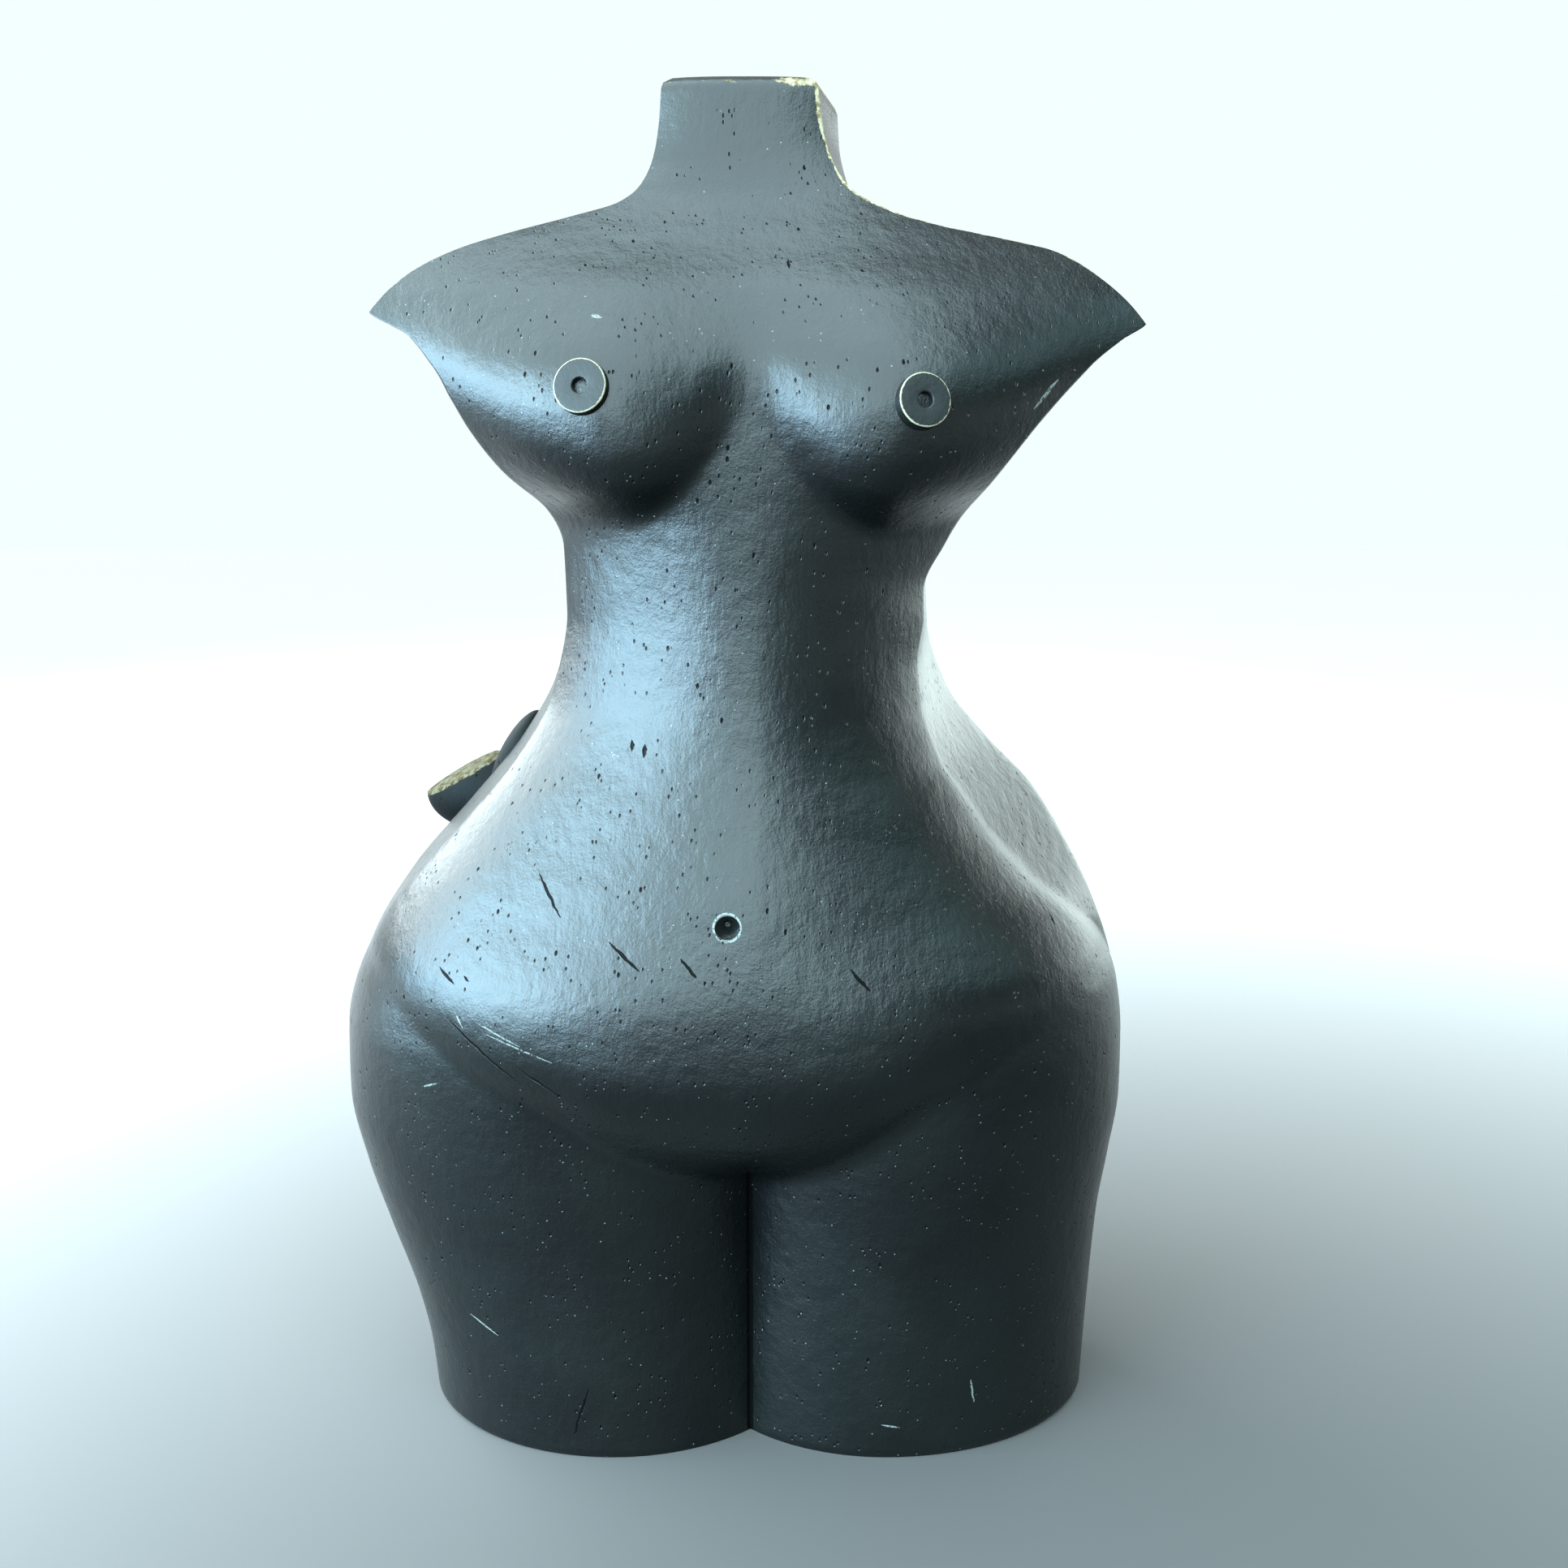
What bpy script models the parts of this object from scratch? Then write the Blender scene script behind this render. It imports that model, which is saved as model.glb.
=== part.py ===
"""A carved wooden female torso, cut off at the neck, shoulders and thighs, standing on its cut thighs.

Metres, +Z up. The front faces -Y and the origin is the middle of the underside, on the surface it stands on.
The figure is one solid. Its form is a loft of level sections: each section runs along the front from the left
edge to the right edge, back along the right flank, across the back and home along the left flank.
"""

import math

import bmesh
import bpy
import numpy as np
from mathutils import Matrix, Vector

# Driving sizes, in metres. Every other proportion of the figure is a share of its height.
HEIGHT = 0.360
NECK_RIM_ROUND = 0.0030
BASE_RIM_ROUND = 0.0012
DISC_RADIUS = 0.0063
DISC_STAND = 0.0018
DISC_ROOT = 0.0060
DISC_HOLE_RADIUS = 0.0018
DISC_HOLE_DEPTH = 0.0040
NAVEL_RADIUS = 0.0032
NAVEL_DEPTH = 0.0036

# Where the small carvings sit on the front, as (x, z) shares, and the way each nipple disc faces.
LEFT_DISC = (-0.1020, 0.7906)
RIGHT_DISC = (0.1147, 0.7820)
LEFT_DISC_FACES = (-0.20, -0.95, 0.22)
RIGHT_DISC_FACES = (0.30, -0.93, 0.20)
NAVEL = (-0.0122, 0.4345)

# Two stubs behind the left of the waist, as shares: middle, half sizes, and the way the long axis points.
# The larger one is cut flat on its upper side: the way that facet faces and how far it is from the middle.
STUB = (-0.221, 0.092, 0.4735)
STUB_HALF_SIZES = (0.056, 0.030, 0.034)
STUB_POINTS = (-0.93, 0.34, -0.10)
STUB_FACET = (-0.52, -0.08, 0.85)
STUB_FACET_OFF = 0.024
SMALL_STUB = (-0.190, 0.062, 0.509)
SMALL_STUB_HALF_SIZES = (0.042, 0.024, 0.014)
SMALL_STUB_POINTS = (-0.47, 0.05, -0.88)

# Mesh density: the sections are worked out finely, and every STRIDE-th point of them is kept.
STRIDE = 4
FRONT_STEPS = 112
FLANK_STEPS = 24
BACK_STEPS = 88
LEVEL_STEPS = 264

# Outlines seen from the front, as (height, half width). The tips are the points of the cut shoulders.
LEFT_TIP = (0.8425, 0.2570)
RIGHT_TIP = (0.8345, 0.2755)
LEFT_BODY = (
    (0.000, 0.261), (0.045, 0.265), (0.090, 0.274), (0.153, 0.294), (0.204, 0.309), (0.260, 0.319),
    (0.317, 0.317), (0.376, 0.300), (0.430, 0.268), (0.480, 0.224), (0.530, 0.182), (0.580, 0.153),
    (0.640, 0.137), (0.685, 0.1365), (0.711, 0.146), (0.737, 0.170), (0.765, 0.190), (0.790, 0.206),
    (0.812, 0.231), (0.829, 0.250), LEFT_TIP,
)
RIGHT_BODY = (
    (0.000, 0.273), (0.075, 0.276), (0.160, 0.281), (0.210, 0.288), (0.260, 0.294), (0.310, 0.293),
    (0.360, 0.286), (0.410, 0.271), (0.450, 0.252), (0.490, 0.227), (0.530, 0.188), (0.570, 0.156),
    (0.620, 0.139), (0.655, 0.137), (0.685, 0.151), (0.720, 0.176), (0.755, 0.203), (0.785, 0.229),
    (0.812, 0.255), RIGHT_TIP,
)
LEFT_SHOULDER = (
    LEFT_TIP, (0.856, 0.2455), (0.870, 0.229), (0.884, 0.201), (0.8955, 0.165), (0.906, 0.126),
    (0.9155, 0.095), (0.927, 0.081), (0.946, 0.0725), (0.970, 0.0675), (1.000, 0.0640),
)
RIGHT_SHOULDER = (
    RIGHT_TIP, (0.855, 0.259), (0.872, 0.240), (0.883, 0.220), (0.8915, 0.183), (0.9005, 0.140),
    (0.9125, 0.106), (0.925, 0.086), (0.946, 0.0735), (0.970, 0.0675), (1.000, 0.0655),
)

# How far the front edge lies inside the outline on each side, as (height, inset).
LEFT_INSET = (
    (0.000, 0.000), (0.350, 0.000), (0.410, 0.006), (0.450, 0.010), (0.500, 0.011), (0.560, 0.012),
    (0.620, 0.008), (0.680, 0.006), (0.740, 0.005), (0.785, 0.007), (0.808, 0.018), (0.826, 0.024),
    (0.8425, 0.004), (0.866, 0.006), (0.915, 0.009), (0.940, 0.009), (1.000, 0.007),
)
RIGHT_INSET = (
    (0.000, 0.000), (0.350, 0.000), (0.380, 0.006), (0.410, 0.024), (0.440, 0.046), (0.483, 0.058),
    (0.519, 0.050), (0.556, 0.034), (0.600, 0.020), (0.640, 0.010), (0.680, 0.010), (0.720, 0.014),
    (0.780, 0.018), (0.806, 0.018), (0.824, 0.012), (0.8345, 0.004), (0.870, 0.010), (0.905, 0.013),
    (0.935, 0.014), (1.000, 0.0165),
)

# Depths in front of and behind the middle plane, as (height, depth): along the centre line and at the edges.
FRONT_DEPTH = (
    (0.000, 0.150), (0.260, 0.172), (0.330, 0.183), (0.370, 0.181), (0.430, 0.171), (0.500, 0.153),
    (0.550, 0.143), (0.600, 0.138), (0.650, 0.1365), (0.700, 0.138), (0.770, 0.1415), (0.800, 0.140),
    (0.850, 0.122), (0.890, 0.092), (0.925, 0.068), (0.950, 0.059), (1.000, 0.052),
)
FRONT_EDGE = (
    (0.000, 0.000), (0.240, 0.000), (0.310, 0.008), (0.370, 0.022),
    (0.420, 0.038), (0.470, 0.052), (0.520, 0.060),
    (0.600, 0.060), (0.700, 0.058), (0.780, 0.056), (0.8455, 0.048),
    (0.900, 0.043), (0.930, 0.038), (1.000, 0.036),
)
BACK_DEPTH = (
    (0.000, 0.096), (0.200, 0.098), (0.300, 0.104), (0.380, 0.102), (0.480, 0.088), (0.560, 0.080),
    (0.650, 0.084), (0.730, 0.094), (0.800, 0.095), (0.850, 0.083), (0.890, 0.067), (0.925, 0.057),
    (0.950, 0.053), (1.000, 0.050),
)
BACK_EDGE = (
    (0.000, 0.000), (0.300, 0.000), (0.370, 0.006), (0.440, 0.030),
    (0.510, 0.045), (0.600, 0.040), (0.700, 0.038),
    (0.780, 0.034), (0.8455, 0.014), (0.900, 0.030), (0.940, 0.034), (1.000, 0.034),
)
# Half width that the chest's curve across is drawn to, which the shoulders' slopes cut short.
CHEST_REACH = (
    (0.000, 0.000), (0.560, 0.090), (0.640, 0.100), (0.700, 0.122),
    (0.730, 0.205), (0.760, 0.275), (0.800, 0.340),
    (0.845, 0.370), (0.880, 0.335), (0.905, 0.240), (0.925, 0.150),
    (0.945, 0.097), (0.970, 0.080), (1.000, 0.074),
)
CHEST_BLEND = 0.04
# Section shape, depth share = (1 - |s| ** fullness) ** roundness, as (height, value).
FRONT_FULLNESS = (
    (0.000, 2.2), (0.400, 2.4), (0.500, 2.3), (0.600, 2.1),
    (0.780, 2.2), (0.900, 2.2), (0.950, 2.8), (1.000, 3.0),
)
FRONT_ROUNDNESS = ((0.000, 0.50), (0.380, 0.58), (0.500, 0.72), (0.600, 0.85), (0.800, 1.00), (1.000, 1.00))
BACK_FULLNESS = 2.2
BACK_ROUNDNESS = 0.6

# Groin: how its crease rises from the middle towards each hip, as (distance from the middle, height), and how high
# the belly's lip is above it.
GROIN_LEFT = (
    (0.000, 0.213), (0.050, 0.232), (0.107, 0.262), (0.136, 0.284),
    (0.191, 0.311), (0.228, 0.338), (0.330, 0.400),
)
GROIN_RIGHT = ((0.000, 0.213), (0.070, 0.247), (0.134, 0.298), (0.217, 0.354), (0.250, 0.374), (0.330, 0.410))
LIP_MIDDLE = 0.115
LIP_SIDE = 0.065
LIP_SPREAD = 0.150

# Thighs: the line of each thigh's front and back, its depth, and how far it reaches inwards past that line.
THIGH_CENTRE = ((0.000, 0.105), (0.250, 0.125), (0.400, 0.130))
THIGH_INNER = 0.150
THIGH_FRONT = ((0.000, 0.127), (0.150, 0.132), (0.250, 0.141), (0.330, 0.148), (0.420, 0.146))
THIGH_BACK = ((0.000, 0.122), (0.120, 0.120), (0.200, 0.122), (0.400, 0.120))

# Breasts: two low mounds, as far from their middle line on the left as on the right; how each fades inwards,
# outwards and upwards; how far it stands, and how the valley between the two is rounded.
BREAST_HEIGHT = 0.782
BREAST_MIDDLE = 0.0055
BREAST_SIDE = 0.102
BREAST_INNER = 0.070
BREAST_OUTER = 0.105
BREAST_FULL = -0.015
BREAST_TOP = 0.085
BREAST_STAND = 0.032
BREAST_VALLEY = 0.012
# The breasts' feet: each foot's lowest place, how steeply it curves up beside that, and over what height the breast
# turns under to it, softer further from the lowest place.
FOOT_SIDE = 0.0935
FOOT_DOWN = 0.080
FOOT_TILT = 0.040
FOOT_RISE_INNER = 11.0
FOOT_RISE_OUTER = 3.5
FOOT_TURN = 0.058
FOOT_SOFT_INNER = 0.075
FOOT_SOFT_OUTER = 0.105

# Buttocks: the same measures, behind.
BUTTOCK_HEIGHT = 0.325
BUTTOCK_SIDE = 0.128
BUTTOCK_REACH = (0.136, 0.210, 0.138, 0.250)
BUTTOCK_FALL = (0.70, 0.62, 1.30)
BUTTOCK_FILLET = 0.08
BUTTOCK_STAND = 0.098
SEAT_FOOT = 0.185
SEAT_HEIGHT = 0.090

# A low keel down the middle of the belly: how steeply the front falls away from it on each side, how its ridge is
# rounded, and the heights it comes in and goes out between.
KEEL_SIDE = 0.006
KEEL_SLOPE = 0.075
KEEL_ROUND = 0.008
KEEL_SPAN = ((0.36, 0.44), (0.62, 0.74))

# The groove of the spine, the same way.
SPINE_DEPTH = 0.012
SPINE_WIDTH = 0.022
SPINE_SPAN = ((0.42, 0.54), (0.78, 0.90))

# How the four long edges of the sections are rounded: below and above a height, over the points beside the edge.
EDGE_SOFT_BELOW = 0.50
EDGE_SOFT_ABOVE = 0.16
EDGE_SOFT_SPAN = (0.78, 0.83)
EDGE_PASSES = 8
EDGE_REACH = 7


def through(points, heights):
    """Values at the heights of a smooth curve through (height, value) points.

    It is made of cubic pieces whose slopes are harmonic means of the neighbouring chords, so it never overshoots."""
    h, v = np.array(points, float).T
    step = np.diff(h)
    chord = np.diff(v) / step
    slope = np.zeros_like(v)
    rising = chord[:-1] * chord[1:] > 0
    safe = np.where(rising, chord[:-1], 1.0), np.where(rising, chord[1:], 1.0)
    before, after = 2 * step[1:] + step[:-1], step[1:] + 2 * step[:-1]
    slope[1:-1] = np.where(rising, (before + after) / (before / safe[0] + after / safe[1]), 0.0)
    slope[0], slope[-1] = chord[0], chord[-1]
    i = np.clip(np.searchsorted(h, heights, side="right") - 1, 0, len(step) - 1)
    t = np.clip((heights - h[i]) / step[i], 0.0, 1.0)
    low, high = v[i], v[i + 1]
    return (
        low + t * t * (3 - 2 * t) * (high - low)
        + t * (1 - t) ** 2 * step[i] * slope[i]
        - t * t * (1 - t) * step[i] * slope[i + 1]
    )


def ease(t):
    """0 before 0, 1 after 1, smooth in between."""
    t = np.clip(t, 0.0, 1.0)
    return t * t * (3 - 2 * t)


def band(z, span):
    """1 between two pairs of heights: it rises through the first pair and falls through the second."""
    (low, full), (fade, gone) = span
    return ease((z - low) / (full - low)) * (1 - ease((z - fade) / (gone - fade)))


def bulge(t, power=3.2, fillet=0.10):
    """0 below 0, rising steeply past a small fillet, level at 1: 1 - (1 - t) ** power."""
    return 1 - (1 - np.minimum(smooth_max(t, 0.0, fillet), 1.0)) ** power


def smooth_max(a, b, width):
    """The larger of a and b, with the valley between them rounded over the width."""
    gap = np.clip(0.5 + 0.5 * (a - b) / width, 0.0, 1.0)
    return b + (a - b) * gap + width * gap * (1 - gap)


def half_width(z, body, shoulder, tip):
    """Outline on one side: the body below the shoulder's tip and the shoulder's slope above it."""
    return np.where(z <= tip[0], through(body, z), through(shoulder, z))


def thigh_pair(x, z, reach, depth):
    """Depth of two upright columns that meet on the centre line; reach is the outline's half width on x's side."""
    centre = through(THIGH_CENTRE, z)
    off = np.abs(x) - centre
    share = np.where(off > 0, off / (reach - centre), off / THIGH_INNER)
    return depth * np.sqrt(1 - np.minimum(np.abs(share), 1.0) ** 2)


def dome(across, up, reach, fall, fillet):
    """A dome 1 high in the middle and 0 past its reach: (1 - distance ** 2) ** power, the power turning with height.

    The fillet rounds the valley along its foot."""
    inner, outer, down, top = reach
    across = np.where(across > 0, across / outer, across / inner)
    rise = np.where(up > 0, up / top, up / down)
    turn = ease(np.abs(rise))
    power = fall[0] + (np.where(up > 0, fall[2], fall[1]) - fall[0]) * turn
    return smooth_max(1 - across ** 2 - rise ** 2, 0.0, fillet) ** power


def breasts(x, z):
    """How far the breasts stand off the chest: mounds that fade like a bell, and turn under to a curved foot.

    The foot's height is rise * off ** 2 above its lowest place, and it fades there as the turn grows with off ** 4."""
    up = z - BREAST_HEIGHT
    from_middle = np.sqrt((x - BREAST_MIDDLE) ** 2 + BREAST_VALLEY ** 2)
    across, off = from_middle - BREAST_SIDE, from_middle - FOOT_SIDE
    side = np.exp(-((across / np.where(across > 0, BREAST_OUTER, BREAST_INNER)) ** 2))
    top = np.exp(-((np.maximum(up - BREAST_FULL, 0) / BREAST_TOP) ** 2))
    foot = np.where(off > 0, FOOT_RISE_OUTER, FOOT_RISE_INNER) * off ** 2 - FOOT_DOWN - FOOT_TILT * x
    turn = FOOT_TURN * (1 + (off / np.where(off > 0, FOOT_SOFT_OUTER, FOOT_SOFT_INNER)) ** 4)
    return BREAST_STAND * side * top * bulge((up - foot) / turn)


def buttocks(x, z):
    """How far the buttocks stand off the lower back."""
    off, up = np.abs(x) - BUTTOCK_SIDE, z - BUTTOCK_HEIGHT
    return BUTTOCK_STAND * dome(off, up, BUTTOCK_REACH, BUTTOCK_FALL, BUTTOCK_FILLET)


def front_depth(x, z, edge):
    """Depth of the carved front before the middle plane; edge is the front edge's half width on x's side."""
    s = np.minimum(np.abs(x) / smooth_max(edge, through(CHEST_REACH, z), CHEST_BLEND), 1.0)
    rim = through(FRONT_EDGE, z)
    rise = (1 - s ** through(FRONT_FULLNESS, z)) ** through(FRONT_ROUNDNESS, z)
    trunk = rim + (through(FRONT_DEPTH, z) - rim) * rise
    from_keel = np.sqrt((x - KEEL_SIDE) ** 2 + KEEL_ROUND ** 2) - KEEL_ROUND
    trunk = trunk + breasts(x, z) - KEEL_SLOPE * band(z, KEEL_SPAN) * from_keel * (1 - s ** 2)
    thighs = thigh_pair(x, z, edge, through(THIGH_FRONT, z))
    groin = np.where(x < 0, through(GROIN_LEFT, -x), through(GROIN_RIGHT, x))
    lip_height = LIP_SIDE + (LIP_MIDDLE - LIP_SIDE) * np.exp(-((x / LIP_SPREAD) ** 2))
    lip = bulge((z - groin) / lip_height)
    return thighs + (trunk - thighs) * lip


def back_depth(x, z, edge):
    """Depth of the carved back behind the middle plane."""
    s = np.minimum(np.abs(x) / smooth_max(edge, through(CHEST_REACH, z), CHEST_BLEND), 1.0)
    rim = through(BACK_EDGE, z)
    trunk = rim + (through(BACK_DEPTH, z) - rim) * (1 - s ** BACK_FULLNESS) ** BACK_ROUNDNESS
    spine = np.exp(-((x / SPINE_WIDTH) ** 2)) * band(z, SPINE_SPAN)
    trunk = trunk - SPINE_DEPTH * spine + buttocks(x, z) * (1 - s ** 4)
    thighs = thigh_pair(x, z, edge, through(THIGH_BACK, z))
    return thighs + (trunk - thighs) * bulge((z - SEAT_FOOT) / SEAT_HEIGHT)


def level_heights():
    """Heights of the sections, as shares: closer together over the shoulders, with one at each shoulder's tip."""
    even = np.linspace(0.0, 1.0, 4001)
    density = 1.0 + 1.6 * np.exp(-(((even - 0.885) / 0.055) ** 2))
    run = np.concatenate([[0.0], np.cumsum((density[1:] + density[:-1]) / 2)])
    levels = np.interp(np.linspace(0.0, run[-1], LEVEL_STEPS + 1), run, even)
    for tip in (LEFT_TIP[0], RIGHT_TIP[0]):
        nearest = STRIDE * np.argmin(np.abs(levels[::STRIDE] - tip))
        levels[nearest] = tip
    return levels


def spaced(steps):
    """Shares from 0 at the centre line to 1 at the edge, closer together towards the edge."""
    u = np.linspace(0.0, 1.0, steps // 2 + 1)
    return np.sin((0.7 * u + 0.3 * u ** 2) * math.pi / 2)


def sections():
    """Points of every section as an array (level, place round the section, 3), in shares of the height."""
    z = level_heights()[:, None]
    left = half_width(z, LEFT_BODY, LEFT_SHOULDER, LEFT_TIP)
    right = half_width(z, RIGHT_BODY, RIGHT_SHOULDER, RIGHT_TIP)
    left_front = left - through(LEFT_INSET, z)
    right_front = right - through(RIGHT_INSET, z)

    out, home = spaced(FRONT_STEPS), spaced(FRONT_STEPS)[::-1]
    front_x = np.hstack([-home * left_front, (out * right_front)[:, 1:]])
    front_edge = np.where(front_x < 0, left_front, right_front)
    front_y = -front_depth(front_x, z, front_edge)

    out, home = spaced(BACK_STEPS), spaced(BACK_STEPS)[::-1]
    back_x = np.hstack([home * right, (-out * left)[:, 1:]])
    back_edge = np.where(back_x < 0, left, right)
    back_y = back_depth(back_x, z, back_edge)

    along = np.linspace(0.0, 1.0, FLANK_STEPS + 1)[1:-1]
    front = np.stack([front_x, front_y, np.broadcast_to(z, front_x.shape)], -1)
    back = np.stack([back_x, back_y, np.broadcast_to(z, back_x.shape)], -1)
    right_flank = front[:, -1:] + along[None, :, None] * (back[:, :1] - front[:, -1:])
    left_flank = back[:, -1:] + along[None, :, None] * (front[:, :1] - back[:, -1:])
    ring = np.concatenate([front, right_flank, back, left_flank], axis=1)
    return soften(ring)


def places_round():
    """Ring places of the four long edges: front left, front right, back right and back left."""
    right_back = FRONT_STEPS + FLANK_STEPS
    return 0, FRONT_STEPS, right_back, right_back + BACK_STEPS


def soften(ring):
    """Rounds the long edges of the sections by averaging neighbours near them, round each section."""
    count = ring.shape[1]
    place = np.arange(count)
    away = np.min([np.minimum((place - e) % count, (e - place) % count) for e in places_round()], axis=0)
    near = np.clip((EDGE_REACH - away) / 3.0, 0.0, 1.0)[None, :, None]
    above = ease((ring[:, :1, 2:] - EDGE_SOFT_SPAN[0]) / (EDGE_SOFT_SPAN[1] - EDGE_SOFT_SPAN[0]))
    softness = near * (EDGE_SOFT_BELOW + (EDGE_SOFT_ABOVE - EDGE_SOFT_BELOW) * above)
    for _ in range(EDGE_PASSES):
        ring = ring + softness * ((np.roll(ring, 1, axis=1) + np.roll(ring, -1, axis=1)) / 2 - ring)
    return ring


def rimmed(ring):
    """The sections in metres, with the rims at the neck and the base rounded."""
    points = ring * HEIGHT
    middle = points[:, :, :2].mean(axis=1, keepdims=True)
    z = points[:, :1, 2]
    reach = np.abs(points[:, :, 0]).max(axis=1)[:, None]
    neck = np.clip((z - (HEIGHT - NECK_RIM_ROUND)) / NECK_RIM_ROUND, 0.0, 1.0)
    base = np.clip((BASE_RIM_ROUND - z) / BASE_RIM_ROUND, 0.0, 1.0)
    inset = NECK_RIM_ROUND * (1 - np.sqrt(1 - neck ** 2)) + BASE_RIM_ROUND * (1 - np.sqrt(1 - base ** 2))
    points[:, :, :2] = middle + (points[:, :, :2] - middle) * (1 - inset / reach)[:, :, None]
    return points


def build_skin(name):
    """The figure's carved form as one closed mesh object, before the small carvings are joined and cut."""
    points = rimmed(sections())[::STRIDE, ::STRIDE]
    levels, around = points.shape[:2]
    mesh = bpy.data.meshes.new(name)
    corner = np.arange(levels * around).reshape(levels, around)
    low, high = corner[:-1], corner[1:]
    quads = np.stack([low, np.roll(low, -1, 1), np.roll(high, -1, 1), high], -1).reshape(-1, 4)
    mesh.from_pydata(points.reshape(-1, 3).tolist(), [], quads.tolist())
    bm = bmesh.new()
    bm.from_mesh(mesh)
    bmesh.ops.holes_fill(bm, edges=[e for e in bm.edges if e.is_boundary], sides=0)
    bmesh.ops.recalc_face_normals(bm, faces=bm.faces)
    bm.to_mesh(mesh)
    bm.free()
    mesh.shade_smooth()
    mesh.set_sharp_from_angle(angle=math.radians(50))
    return bpy.data.objects.new(name, mesh)


def front_point(x, z):
    """The point of the front surface at the shares x and z, in metres."""
    level = np.array([z])
    left = LEFT_BODY, LEFT_SHOULDER, LEFT_TIP, LEFT_INSET
    right = RIGHT_BODY, RIGHT_SHOULDER, RIGHT_TIP, RIGHT_INSET
    body, shoulder, tip, inset = left if x < 0 else right
    edge = half_width(level, body, shoulder, tip) - through(inset, level)
    return Vector((x, -float(front_depth(np.array([x]), level, edge)[0]), z)) * HEIGHT


def aimed(where, direction):
    """A placement at a point with its Z axis turned to a direction."""
    turn = Vector(direction).normalized().to_track_quat("Z", "Y")
    return Matrix.Translation(where) @ turn.to_matrix().to_4x4()


def solid_from(bm, name, where, direction):
    """A named object made from a shape, placed with its Z axis along the direction."""
    mesh = bpy.data.meshes.new(name)
    bm.to_mesh(mesh)
    bm.free()
    solid = bpy.data.objects.new(name, mesh)
    solid.matrix_world = aimed(where, direction)
    return solid


def turned(name, where, direction, low, high, foot, head, around=32):
    """A round solid along the direction, from low to high past the point, with its two radii."""
    bm = bmesh.new()
    bmesh.ops.create_cone(
        bm, cap_ends=True, segments=around, radius1=foot, radius2=head, depth=high - low,
        matrix=Matrix.Translation((0.0, 0.0, (low + high) / 2)),
    )
    return solid_from(bm, name, where, direction)


def rounded_stub(name, where, half_sizes, direction, around, facet=None):
    """An egg-shaped stub whose long half size lies along the direction, cut flat where it faces the facet's way."""
    bm = bmesh.new()
    long, wide, tall = Vector(half_sizes) * HEIGHT
    bmesh.ops.create_uvsphere(
        bm, u_segments=around, v_segments=around // 2, radius=1.0, matrix=Matrix.Diagonal((wide, tall, long, 1.0)),
    )
    if facet:
        across = (aimed((0, 0, 0), direction).inverted() @ Vector(facet)).normalized()
        bmesh.ops.bisect_plane(
            bm, geom=bm.verts[:] + bm.edges[:] + bm.faces[:], plane_co=across * STUB_FACET_OFF * HEIGHT,
            plane_no=across, clear_outer=True,
        )
        bmesh.ops.holes_fill(bm, edges=[edge for edge in bm.edges if edge.is_boundary])
    return solid_from(bm, name, Vector(where) * HEIGHT, direction)


def paint(name, colour, roughness):
    """A plain painted surface."""
    material = bpy.data.materials.new(name)
    material.use_nodes = True
    surface = material.node_tree.nodes["Principled BSDF"]
    surface.inputs["Base Color"].default_value = (*colour, 1.0)
    surface.inputs["Roughness"].default_value = roughness
    surface.inputs["Metallic"].default_value = 0.0
    return material


def main():
    for old in list(bpy.data.objects):
        bpy.data.objects.remove(old)
    figure_parts = bpy.data.collections.new("female_torso")
    cutters = bpy.data.collections.new("cutters")
    bpy.context.scene.collection.children.link(figure_parts)
    bpy.context.scene.collection.children.link(cutters)

    torso = build_skin("torso")
    torso.data.materials.append(paint("black_paint", (0.020, 0.021, 0.023), 0.42))
    figure_parts.objects.link(torso)

    joined = [
        rounded_stub("waist_stub", STUB, STUB_HALF_SIZES, STUB_POINTS, 24, STUB_FACET),
        rounded_stub("small_waist_stub", SMALL_STUB, SMALL_STUB_HALF_SIZES, SMALL_STUB_POINTS, 16),
    ]
    cut = []
    for side, place, faces in (("left", LEFT_DISC, LEFT_DISC_FACES), ("right", RIGHT_DISC, RIGHT_DISC_FACES)):
        where = front_point(*place)
        joined.append(turned(side + "_disc", where, faces, -DISC_ROOT, DISC_STAND, DISC_RADIUS, DISC_RADIUS))
        hole = DISC_STAND - DISC_HOLE_DEPTH
        cut.append(turned(
            side + "_disc_hole", where, faces, hole, DISC_STAND + 0.002, DISC_HOLE_RADIUS, DISC_HOLE_RADIUS, 16,
        ))
    navel = front_point(*NAVEL)
    slope = NAVEL_RADIUS * 0.8 / NAVEL_DEPTH
    cut.append(turned(
        "navel_drill", navel, (0.0, -1.0, 0.06), -NAVEL_DEPTH, 0.001,
        NAVEL_RADIUS * 0.2, NAVEL_RADIUS + 0.001 * slope, 24,
    ))

    for tool, operation in [(t, "UNION") for t in joined] + [(t, "DIFFERENCE") for t in cut]:
        cutters.objects.link(tool)
        tool.hide_render = True
        tool.display_type = "WIRE"
        step = torso.modifiers.new(tool.name, "BOOLEAN")
        step.operation = operation
        step.solver = "EXACT"
        step.object = tool


main()
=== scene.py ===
"""Looks of a carved wooden female torso under worn black paint, standing on its cut thighs on a pale floor.

Metres, +Z up, the front facing -Y, the origin in the middle of the underside. The carved skin is a loft of
level sections, worked out finely, with the worn ridges marked on it.
"""

import math

import bmesh
import bpy
import numpy as np
from mathutils import Matrix, Vector


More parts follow.
